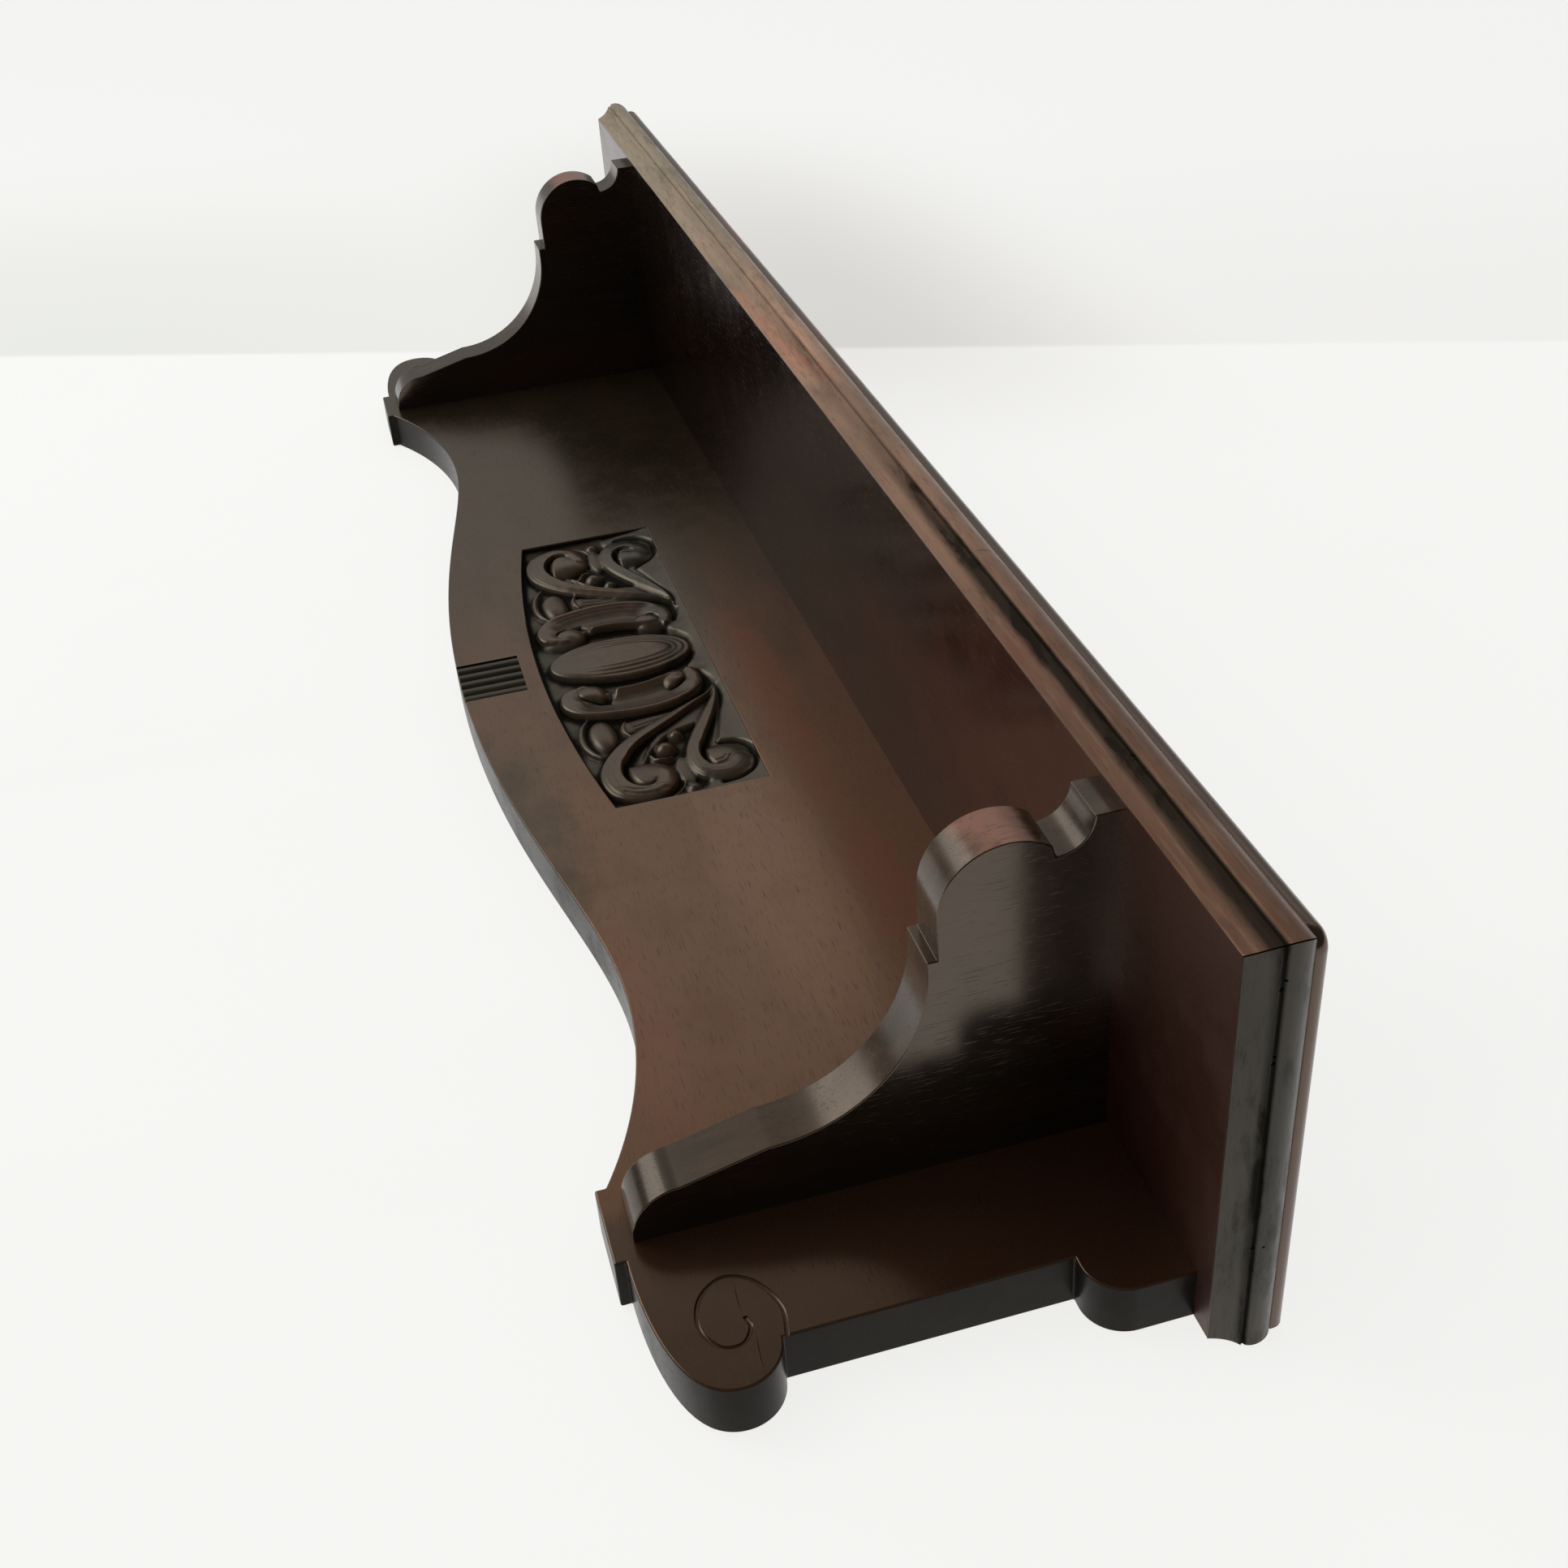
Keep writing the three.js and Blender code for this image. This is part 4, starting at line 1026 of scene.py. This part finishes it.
# %% The leaf, the beads and the small fill
for mound in ((57.8, -102, 12, 6, 4.6, 0.3), (76.6, -80, 5, 5, 5), (68.2, -74, 3.8, 3.7, 4.6),
              (108, -75.2, 4.4, 4.2, 4.4)):
    relief = np.maximum(relief, dome(*mound))
leaf_line = [(49, -62, 0.8, 0.8), (51.4, -69, 2.2, 2.2), (53.2, -76, 3.4, 3.2), (54.8, -83, 4.4, 4),
             (56.2, -89.8, 5, 5)]
leaf = [(0, 3.9), (0.6, 3.6), (1, 3.0)]
laid = band([(x, z, right, left, 1) for x, z, right, left in leaf_line], leaf, leaf)
laid = side_veins(laid, [(x, z, left) for x, z, _, left in leaf_line],
                  (-0.7, -0.25, 0.25, 0.7), 0.5, 0.5, (0.3, 0.02))
relief = np.maximum(relief, np.where(laid > 1.9, laid, 0))
for stations, rise in (
        ([(51, -91.6, 0.7), (55, -93, 1.6), (59, -93.2, 1.8), (63.4, -91.6, 1)], 4.3),
        ([(45, -106.5, 1), (50, -109.3, 1.8), (57, -110.8, 2.1), (64, -110.4, 2.1), (70, -108.4, 1.8),
          (74.3, -105.8, 1.2)], 3.8),
        ([(79.4, -86.6, 0.7), (82.8, -85, 1.2), (84, -81.6, 1.2), (83.6, -78.5, 0.8)], 3.8),
        ([(101, -77.4, 0.5), (105.6, -78.7, 0.9), (108.8, -81.4, 0.8), (110.8, -84.6, 0.5)], 3.9)):
    relief = np.maximum(relief, ridge(stations, rise))
print("relief covers %.0f%% of the panel" % (100 * (relief > 2.5).mean()))

# %% [markdown]
# ## The boss
#
# In the middle stands a long oval with raised rings round it. The rings are widest at the top and
# the sides and run together at the bottom, so each is an ellipse that shares its lowest point
# with the next. The lines between them are cut deepest at the top and die out below.


# %% Rings of the boss
def oval(half, top, bottom):
    """Distance inside (+) or outside (-) an ellipse, near enough for a rim."""
    centre, tall = (top + bottom) / 2, (top - bottom) / 2
    ratio = np.sqrt((side_x / half) ** 2 + ((grid_z - centre) / tall) ** 2)
    return (1 - ratio) * half


outer = oval(17.5, -51.1, -114.9)
dying = smooth_step((grid_z + 104) / 26)
boss = 4.2 + 1.3 * np.sqrt(np.clip(outer / 3.2, 0, 1)) + 0.35 * smooth_step((outer - 3) / 5)
boss = (boss - 0.45 * dying * smooth_step((9 - outer) / 6)) * smooth_step((outer + 0.4) / 1.1)
for half, top, bottom, deep in ((14.1, -54.4, -114.2, 0.6), (11.4, -57.2, -113.6, 0.55),
                                (8.6, -59.8, -113, 0.45)):
    inside = oval(half, top, bottom)
    boss = boss - deep * dying * np.exp(-(np.where(inside > 0, inside / 0.32, inside / 0.75)) ** 2)
relief = np.where(outer > -0.4, np.maximum(boss, relief * (outer < 0)), relief)
print("boss stands %.1f mm high" % boss.max())

# %% Fine veins and eyes
for stations, width, deep in (
        ([(104.5, -101.8), (107.8, -97), (108.6, -91), (106.6, -85.4)], 0.45, 0.22),
        ([(101, -103.4), (104.4, -98.6), (105.6, -92.6), (104, -87)], 0.45, 0.18),
        ([(98, -62.6), (97, -59), (94.4, -57.2)], 0.4, 0.5),
        ([(95.4, -63.4), (95.6, -60.4), (93.6, -58.8)], 0.4, 0.35)):
    relief = vein(relief, stations, width, deep)
print("veins cut")

# %% [markdown]
# ## The slope above, and the ground
#
# From the upper edge of the panel a slope falls to the forms, steep over the volutes and easy
# between them, and ends in a fine sunk line. A carver clears the ground with a flat gouge, so it
# is never quite level: it gets a low, fixed-seed waviness. Every point also stores two values for
# the polish: its level, and how hollow it is against its surroundings, because the polish is painted
# darker low down and in the hollows, partly as grime and partly as painted shade.

# %% The slope, eased where it meets the heads of the volutes
hood_line = [
    (0, -50.9), (8, -52), (13, -54.4), (16.6, -57.4), (18.6, -58), (20.4, -56.6), (24, -53), (30, -50.8),
    (37, -49.5), (47.5, -49.8), (53.5, -51.2), (61.5, -53.8), (70.5, -56.5), (79.5, -59.4), (90, -63),
    (100, -66.5), (114.5, -71)]
hood_x, hood_z = zip(*hood_line)
fall = (panel_top - grid_z) / (panel_top - np.interp(side_x, hood_x, hood_z))
slope = panel_depth - 0.2 - 2 * np.clip(fall, 0, 1) ** 0.9
head_share = np.maximum(dome(94.8, -61, 14.1, 13.1, 1, 1), dome(97.4, -94, 13.8, 16, 1, 1))
clear_of_heads = smooth_step(1 - head_share / 0.14) * (fall < 1)
sloped = np.maximum(slope, relief * smooth_step((fall - 0.8) / 0.14))
relief = relief + (sloped - relief) * clear_of_heads
seam, _, _ = nearest(hood_line)
rough_rim = (head_share > 0) * (head_share < 0.2) * (fall < 1.02)
easing = np.maximum(smooth_step(1.7 - np.abs(seam) / 0.9), rough_rim)
for x, z, radius in ((28.6, -92.8, 2.2), (23.6, -57.4, 1.8), (81.6, -85.6, 1.4), (98.3, -55.7, 1.6),
                     (110, -69, 1.8), (88.4, -65.6, 1)):
    easing = np.maximum(easing, smooth_step(1.8 - np.hypot(side_x - x, grid_z - z) / radius))
relief = relief + (blurred(relief, 8) - relief) * easing
relief = vein(relief, [(x, z) for x, z in hood_line if 36 < x < 80], 0.5, 0.9)
relief = vein(relief, [(80.6, -58), (83.4, -52.4), (88, -48.8), (94, -47.4), (100.6, -48), (106, -51.4),
                       (109, -57), (109.2, -63)], 0.9, 2.4)
print("slope from %.1f down to %.1f mm" % (slope.max(), slope.min()))


# %% Waviness and the stored values
chance = np.random.default_rng(11)
waves = blurred(chance.standard_normal(relief.shape), 26)
waves = waves / waves.std()
relief = relief + np.where(relief < 2.4, 0.07, 0.025) * waves
relief = np.clip(blurred(relief, 2), 0.3, panel_depth - 0.05)
# How hollow each point is, for the painted shade and grime of the polish
margin = 14
round_about = blurred(np.pad(relief, margin, constant_values=panel_depth), 60)[margin:-margin, margin:-margin]
hollow = np.clip((round_about - relief) / 2.2 + 0.15, 0, 1)
print("relief from %.1f to %.1f mm" % (relief.min(), relief.max()))

# %% The carved solid
floor_gap = 0.02
level = back_thickness - panel_depth + relief
top_points = np.stack([grid_x, -level, grid_z + underside], axis=2).reshape(-1, 3)
index = np.arange(rows * columns).reshape(rows, columns)
quads = np.stack([index[:-1, :-1], index[:-1, 1:], index[1:, 1:], index[1:, :-1]], axis=2).reshape(-1, 4)
rim = np.concatenate([index[0, :], index[1:, -1], index[-1, -2::-1], index[-2:0:-1, 0]])
base_points = top_points[rim].copy()
base_points[:, 1] = -(back_thickness - pocket_floor + floor_gap)
base = rows * columns + np.arange(rim.size)
walls = np.stack([rim, base, np.roll(base, -1), np.roll(rim, -1)], axis=1)
points = np.vstack([top_points, base_points]) * MM
carving = solid("carved_panel", points.tolist(), np.vstack([quads, walls]).tolist() + [base[::-1].tolist()])
for name, field in (("level", relief / panel_depth), ("hollow", hollow)):
    store = carving.data.attributes.new(name, "FLOAT", "POINT")
    store.data.foreach_set("value", np.concatenate([field.ravel(), field.ravel()[rim]]).astype(np.float32))
settle(carving, ["back_board"], "carved_wood", smooth_angle=70)

# %% [markdown]
# ## The brackets
#
# Each bracket is one sawn profile: a shoulder and a cavetto under the shelf, a round lobe, a
# small step, a long sweep down, another step and a quarter-round ankle. The profile is drawn once
# as reach from the wall and level below the shelf, and both brackets are cut from it. It is drawn
# a little over at its two joints, and trimmed there once its arrises are soft.

# %% Profile of a bracket
reach = depth - 3.7
lobe_reach, lobe_level, lobe_radius = reach - 23.2, -31.7, 20.5
lobe_start = lobe_reach - 14.3
shoulder_level, cavetto_radius = -7, 11
sweep_foot = back_thickness + 24
sweep_radius = lobe_start - sweep_foot - 5
sweep_level = lobe_level - lobe_radius - 3.2 - sweep_radius
ankle_reach, ankle_level, ankle_radius = back_thickness + 17.2, -131, 15.2
over = 0.5
bracket_profile = [(back_thickness - over, over), (back_thickness - over, ankle_level - ankle_radius)]
bracket_profile += arc(ankle_reach - ankle_radius, ankle_level, ankle_radius, -90, 0, 14)
bracket_profile += arc(sweep_foot + sweep_radius, sweep_level, sweep_radius, 180, 90, 26)
bracket_profile += [(lobe_start, sweep_level + sweep_radius), (lobe_start, lobe_level - lobe_radius)]
bracket_profile += arc(lobe_reach, lobe_level, lobe_radius, -90, 38, 24)
bracket_profile += arc(reach, shoulder_level - cavetto_radius, cavetto_radius, 180, 90, 12)
bracket_profile += [(reach, over)]
print("bracket profile of %d points" % len(bracket_profile))

# %% Both brackets
for side, sign in sides.items():
    bracket = loft(side + "_bracket_wood", [
        [(corner[0] / MM, -out, level + underside) for out, level in bracket_profile]
        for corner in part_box(side + "_bracket")])
    soften(bracket, 0.45, 3)
    left, right = sign * bracket_place - spare, sign * bracket_place + spare
    cut(bracket, block((left, -depth - spare, underside), (right, spare, underside + spare)),
        block((left, -back_thickness, underside - 200), (right, spare, underside + 10)))
    settle(bracket, [side + "_bracket"], "bracket_wood", "bracket_arris", "bracket_edge", 0)

# %% [markdown]
# ## The shelf and its thin top
#
# The shelf board is a plain board whose underside shows, and the top is a thin board over it
# with a rounded edge at the front and both ends. The rounding is lofted from ever smaller
# outlines, so it runs round the corners without a seam, and the back stays square.

# %% The shelf board
shelf_top = underside + core_height
shelf_board = loft("shelf_board_wood", [
    [(-half_length, y, underside), (half_length, y, underside), (half_length, y, shelf_top),
     (-half_length, y, shelf_top)] for y in (0, -depth)])
soften(shelf_board, 0.3, 2)
settle(shelf_board, ["shelf_board"], "shelf_wood", "shelf_arris")

# %% The top board
top_low, top_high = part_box("top_board")
top_half, top_front = top_high[0] / MM, -top_low[1] / MM
top_foot, top_crown = top_low[2] / MM, top_high[2] / MM


def top_ring(inset, level, corner=6.0, steps=8):
    """The outline of the board at a level, drawn in by inset."""
    half, front = top_half - inset, -top_front + inset
    radius = corner - min(inset, corner - 1)
    ring = [(-half, 0), *arc(-half + radius, front + radius, radius, 180, 270, steps),
            *arc(half - radius, front + radius, radius, 270, 360, steps), (half, 0)]
    return [(x, y, level) for x, y in ring]


rounding = 3.8
rings = [top_ring(0.35, top_foot), top_ring(0.08, top_foot + 0.15), top_ring(0, top_foot + 0.5)]
for angle in np.radians(np.linspace(0, 90, 9)):
    rings.append(top_ring(rounding * (1 - math.cos(angle)), top_crown - rounding * (1 - math.sin(angle))))
top_board = loft("top_board_wood", rings)
settle(top_board, ["top_board"], "top_wood", smooth_angle=50)

# %% [markdown]
# ## The edge mouldings
#
# A moulding is one section run along the edge: a cove, a fine sunk line called a quirk, and a
# bead. The front run and the end runs meet in a mitre, so each ring of the loft is slid along by
# its own reach, which cuts the ends at 45 degrees. Fine pins hold the mouldings: they are punched
# below the surface, and leave small holes in the quirk. Old pits and splits are cut with them.

# %% Section of the moulding
cove_reach, cove_height, quirk_deep, quirk_tall = 5.6, 7.6, 0.5, 0.8
bead_foot = cove_height + 1.2 * quirk_tall
bead_tall = core_height - bead_foot
fillet, pull, hollow_out, hollow_up = 0.6, 2 / 3, 0.4, 0.74
section = [(0.0, 0.0)]
section += bezier(
    (fillet, 0), (fillet + pull * (hollow_out * cove_reach - fillet), pull * hollow_up * cove_height),
    (cove_reach + pull * (hollow_out - 1) * cove_reach, cove_height + pull * (hollow_up - 1) * cove_height),
    (cove_reach, cove_height), 14)
section += [(cove_reach - quirk_deep, cove_height + share * quirk_tall) for share in (0.3, 1)]
section += bezier((cove_reach, bead_foot), (7.2, bead_foot + 0.16 * bead_tall),
                  (6.9, bead_foot + 0.74 * bead_tall), (3, core_height - 0.02), 16)
section += [(0.0, core_height - 0.02)]
print("moulding section of %d points" % len(section))

# %% Runs of moulding with their pin holes
pin_level = underside + cove_height + quirk_tall / 2
all_nodes = sorted(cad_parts)
pins_front = [n for n in all_nodes if n.startswith("front_pin")]
pins_end = {side: [n for n in all_nodes if n.startswith(side + "_end_pin")] for side in sides}
hole_start, punch_radius, punch_stop, pit_radius, pit_stop = 9, 0.6, 4.1, 0.4, 4.4

front = loft("front_moulding_wood", [
    [(sign * (half_length + out - 0.2), -depth - out, underside + z) for out, z in section]
    for sign in sides.values()])
soften(front, 0.2, 2, 40)
holes = []
for node in pins_front:
    x = middle(node)[0]
    holes.append(round_cutter(
        punch_radius, (x, -depth - hole_start, pin_level), (x, -depth - punch_stop, pin_level), 14))
splits = [crack_cutter((-252, -depth - 6.4, 40.4), (-158, -depth - 6.4, 40), (0, 1.6, 0), 0.5),
          crack_cutter((195.2, -depth - 5.6, 39.2), (196.4, -depth - 5.6, 46.5), (0, 1.8, 0.2), 0.45),
          crack_cutter((-60, -depth - 5.2, 37.2), (60, -depth - 5.2, 37.4), (0, 0.9, 0), 0.25)]
cut(front, *holes, *splits)
settle(front, ["front_moulding"], "front_wood", "front_arris")
for side, sign in sides.items():
    run = loft(side + "_end_moulding_wood", [
        [(sign * (half_length + out), -share * (depth + out - 0.2), underside + z) for out, z in section]
        for share in (0, 1)])
    soften(run, 0.2, 2, 40)
    marks = [(middle(node)[1], pin_level, punch_radius, punch_stop, 14) for node in pins_end[side]]
    marks += [(y, z, pit_radius, pit_stop, 10)
              for y, z in ((-132, 38.8), (-107.2, 38.2), (-117, 31.6), (-39.7, 40.6))]
    cut(run, *[round_cutter(radius, (sign * (half_length + hole_start), y, z),
                            (sign * (half_length + stop), y, z), facets)
               for y, z, radius, stop, facets in marks])
    settle(run, [side + "_end_moulding"], "end_wood", "end_arris")

# %% [markdown]
# ## Screws and pins
#
# The shelf is put together with slotted countersunk screws and fine pins. A fastener is the same
# wherever it sits, so one tree makes it and sets a copy on every point, turned the way that the
# point says. The head is a cone with a slot cut across it, and the shank ends in a tip; the three
# stand end to end. Pins use the same tree without a slot.

# %% A tree that sets a fastener on every point
size_names = ("Head Radius", "Head Depth", "Shank Radius", "Length", "Slot Width", "Slot Depth")
wood_screw_sizes = (4, 2.6, 2, 38, 0.9, 0.9)
fastener = Grower("fasteners on points", {
    **{name: size * MM for name, size in zip(size_names, wood_screw_sizes)}, "Slotted": True})
head_radius, head_depth, shank_radius, length, slot_width, slot_depth = map(fastener.given, size_names)


def moved_in(mesh, distance):
    """Part of a fastener, moved on along its shank."""
    return fastener.node("GeometryNodeTransform", None, {0: mesh, "Translation": fastener.vector(z=distance)})


head = fastener.node("GeometryNodeMeshCone", None, {
    "Vertices": 32, "Radius Top": shank_radius, "Radius Bottom": head_radius, "Depth": head_depth})
tip_length = shank_radius * 2
shank_length = length - head_depth - tip_length
shank = fastener.node("GeometryNodeMeshCylinder", None, {
    "Vertices": 24, "Radius": shank_radius, "Depth": shank_length})
tip = fastener.node("GeometryNodeMeshCone", None, {
    "Vertices": 24, "Radius Top": 0.00004, "Radius Bottom": shank_radius, "Depth": tip_length})
slot_box = fastener.node("GeometryNodeMeshCube", None, {
    "Size": fastener.vector(head_radius * 3, slot_width, slot_depth * 2)})
slotted = fastener.node("GeometryNodeMeshBoolean", {"operation": "DIFFERENCE", "solver": "EXACT"}, {
    0: head, 1: slot_box})
chosen = fastener.node("GeometryNodeSwitch", {"input_type": "GEOMETRY"}, {
    "Switch": fastener.given("Slotted"), "False": head, "True": slotted})
whole = fastener.node("GeometryNodeJoinGeometry", None, {0: [
    chosen, moved_in(shank, head_depth + shank_length * 0.5), moved_in(tip, head_depth + shank_length)]})
turn = fastener.node("GeometryNodeInputNamedAttribute", {"data_type": "FLOAT_VECTOR"}, {"Name": "turn"})
fastener.close(whole, fastener.node("FunctionNodeEulerToRotation", None, {0: turn}))
print("fastener tree inputs:", len(fastener.inputs))

# %% All screws and pins
# How a fastener turns, and the axis and the end of the measured piece where its head sits
quarter = math.pi / 2
aims = {"outward": ((quarter, 0, 0), 1, 1), "wallward": ((-quarter, 0, 0), 1, 0),
        "down": ((math.pi, 0, 0), 2, 1),
        "leftward": ((0, -quarter, 0), 0, 1), "rightward": ((0, quarter, 0), 0, 0)}


def drive(name, chosen, slot, sizes, slotted=True):
    """Fasteners of one kind, each with an aim; sizes in millimetres."""
    points, turns = [], []
    for node in sorted(chosen):
        turn, axis, end = aims[chosen[node]]
        place = middle(node)
        place[axis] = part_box(node)[end][axis] / MM
        points.append(place)
        turns.append(turn)
    values = {key: size * MM for key, size in zip(size_names, sizes)}
    piece = grown(name, points, fastener, {**values, "Slotted": slotted, "Finish": finishes[slot]}, turns)
    settle(piece, sorted(chosen), slot, smooth_angle=30)


wood_screws = {n: "outward" if "back_screw" in n else "down" for n in all_nodes
               if "_screw_" in n and "plate" not in n}
plate_screws = {n: "outward" for n in all_nodes if "plate_screw" in n}
pin_aims = {n: "wallward" for n in pins_front}
pin_aims.update({n: "rightward" for n in pins_end["left"]})
pin_aims.update({n: "leftward" for n in pins_end["right"]})
drive("wood_screws", wood_screws, "screw_steel", wood_screw_sizes)
drive("plate_screws", plate_screws, "plate_brass", (3, 1.6, 1.6, 13, 0.9, 0.7))
drive("moulding_pins", pin_aims, "screw_steel", (1.1, 0.8, 0.6, 18, 0.9, 0.9), slotted=False)

# %% [markdown]
# ## The keyhole plates
#
# A brass plate with round ends is let in flush with the back. The round hole takes the head of
# the wall screw and the slot above it holds the shank. The plate is lofted with an eased rim, and
# the keyhole and the two countersunk holes are cut out of it.

# %% Both plates
slot_radius, entry_radius, entry_level, entry_angles = 2.6, 5, -12, (148.67, 391.33)
for side, sign in sides.items():
    x = sign * plate_place
    rings = []
    for inset, level in ((0.35, 0.0), (0.08, 0.12), (0.0, 0.4), (0.0, plate_thick)):
        ring = stadium(x, plate_centre, plate_half - inset, plate_tall - inset)
        rings.append([(px, -level - 0.005, pz) for px, pz in ring])
    plate = loft(side + "_keyhole_plate", rings)
    keyhole = arc(x, 0, slot_radius, 0, 180, 14) + arc(x, entry_level, entry_radius, *entry_angles, 24)
    screw_levels = [middle("%s_plate_screw_%d" % (side, i))[2] for i in (1, 2)]
    holes = [sunk_hole(x, level, head=3.2, shank=1.8, seat=0, head_deep=1.7, deep=plate_thick + 1)
             for level in screw_levels]
    cut(plate, from_back(keyhole, plate_thick + 1, "keyhole"), *holes)
    settle(plate, [side + "_hanging_plate"], "plate_brass", smooth_angle=30)

# %% [markdown]
# ## Camera
#
# The shelf was photographed lying on its back on a pale table, from beyond its right end. The
# camera was fitted to the straight edges of the boards, and stands where the photograph was
# taken. Its three axes are written out: to the right and down in the picture, and ahead.

# %% Camera at the photograph's viewing angle
right = Vector((0.26974158, 0.06516174, 0.96072547))
down = Vector((0.53191172, 0.8215939, -0.20506919))
ahead = Vector((-0.80268885, 0.56633683, 0.18695775))
lens = bpy.data.cameras.new("camera")
lens.sensor_width = 36
lens.lens = 42.947
lens.clip_start = 0.01
camera = placed("camera", lens)
axes = Matrix((right, -down, -ahead)).transposed().to_4x4()
camera.matrix_world = Matrix.Translation((0.7035, -0.4279, -0.1482)) @ axes
bpy.context.scene.camera = camera
print("camera at", tuple(round(v, 3) for v in camera.location))

# %% [markdown]
# ## Table, room and lamp
# The pale table that the shelf lies on is the plane of the wall. Only the camera sees it, from
# the front: light and reflections pass through to the pale room behind it, which lights the shelf
# evenly from all sides, as a white tent does. It still catches the shelf's shadow. Beyond a straight
# line it is painted a shade greyer, as painted shade where the cloth bends up to the backdrop, and a
# soft shadow to the right of the far end is painted on the backdrop. Faint folds are painted on the
# cloth as light and shade. One broad lamp adds a soft direction.

# %% Table
table_mesh = bpy.data.meshes.new("table")
table_half, table_level = 3.0, 0.0006
corners = [(x * table_half, table_level, z * table_half) for x, z in ((-1, -1), (1, -1), (1, 1), (-1, 1))]
table_mesh.from_pydata(corners, [], [(0, 1, 2, 3)])
table = placed("table", table_mesh)
table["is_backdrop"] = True
finish = Finish("pale table")
spot = finish.spot()
x_part, _, z_part = finish.parts(spot)
away = z_part * 0.4 - x_part * 0.916
behind_bend = finish.rise(away, 0.369, 0.377)
# Faint folds, painted on the cloth as light and shade
painted_folds = finish.noise(finish.stretched(spot, (1, 1, 0.5)), 5, 3, 0.5, 0.8)
cloth = finish.blend(finish.rise(painted_folds, 0.5, 0.75) * 0.5, (0.957, 0.953, 0.933), (0.935, 0.935, 0.915))
# Beyond the line the colour is painted greyer near the bend, as painted shade, and paler further up
bend = finish.blend(finish.rise(z_part, -0.35, 0.3), (0.835, 0.845, 0.805), (0.9, 0.895, 0.875))
backdrop = finish.blend(finish.rise(away, 0.38, 0.85), bend, (0.93, 0.928, 0.91))
shade = finish.blend(behind_bend, cloth, backdrop)

# A soft shadow painted on the backdrop, to the right of the far end
beside = finish.rise(z_part, -0.08, 0.17) * (1 - finish.rise(z_part, 0.17, 0.38))
beside = beside * (1 - finish.rise(away, 0.45, 0.95)) * finish.rise(away, 0.2, 0.4)
shade = finish.blend(beside * (0.4 + behind_bend * 0.5), shade, (0.7, 0.685, 0.655))

matt = finish.node("ShaderNodeBsdfDiffuse", None, {"Color": shade})
glowing = finish.node("ShaderNodeEmission", None, {"Color": shade, "Strength": 1.0})
clear = finish.node("ShaderNodeBsdfTransparent")
seen = finish.node("ShaderNodeLightPath") * (1 - finish.node("ShaderNodeNewGeometry", output=6))
looks = finish.mixed(seen, clear, finish.mixed(0.85, matt, glowing))
finish.node("ShaderNodeOutputMaterial", None, {"Surface": looks})
table_mesh.materials.append(finish.material)
print("table faces", tuple(table_mesh.polygons[0].normal))

# %% Room
world = bpy.data.worlds.new("pale room")
bpy.context.scene.world = world
world.use_nodes = True
room = Tree(world.node_tree)
x_part, y_part, z_part = room.parts(room.node("ShaderNodeTexCoord"))


def light_from(colour):
    return room.node("ShaderNodeBackground", None, {"Color": colour, "Strength": 1.0})


# Light on the wood, a little stronger from one side
sided = 0.42 + 0.5 * room.rise(x_part * -0.7 - z_part * 0.7, -0.8, 0.8)
glow = light_from(room.blend(sided, (0, 0, 0), (0.98, 0.985, 1)))

# What the polish mirrors: the table below, and the backdrop beyond the far end
below = room.rise(y_part, -0.04, 0.05)
backdrop = room.rise(x_part * -1, 0.15, 0.6) * (1 - room.rise(y_part * -1, 0.69, 0.79))
backdrop = backdrop * room.rise(z_part, -0.75, -0.55)
mirrored = below + (1 - below) * (0.08 + backdrop * (0.34 + 0.42 * room.rise(y_part * -1, 0.42, 0.6)))
reflected = light_from(room.blend(mirrored, (0, 0, 0), (0.95, 0.95, 0.94)))

# What the camera sees past and through the table
pale = light_from((0.92, 0.92, 0.9, 1))
seen, mirror, through = (room.node("ShaderNodeLightPath", output=i) for i in (0, 3, 4))
lit = room.mixed((seen + through).least(1), room.mixed(mirror, glow, reflected), pale)
room.node("ShaderNodeOutputWorld", None, {"Surface": lit})
print("room lit")

# %% Lamp
light = bpy.data.lights.new("broad lamp", "AREA")
light.shape, light.size, light.energy = "DISK", 1.3, 10
lamp = placed("broad lamp", light)
place, aim = Vector((-0.8, -1.13, -1.23)), Vector((0, 0, -0.03))
lamp.matrix_world = Matrix.Translation(place) @ (place - aim).to_track_quat("Z", "Y").to_matrix().to_4x4()
bpy.context.scene.view_settings.view_transform = "Standard"
print("lamp at", tuple(place))

# %% Sizes of the measured and the dressed model
dressed_box = [list(corner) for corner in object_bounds()]
for corner in zip(*measured_box, *dressed_box):
    print("measured and dressed", [round(value, 5) for value in corner])
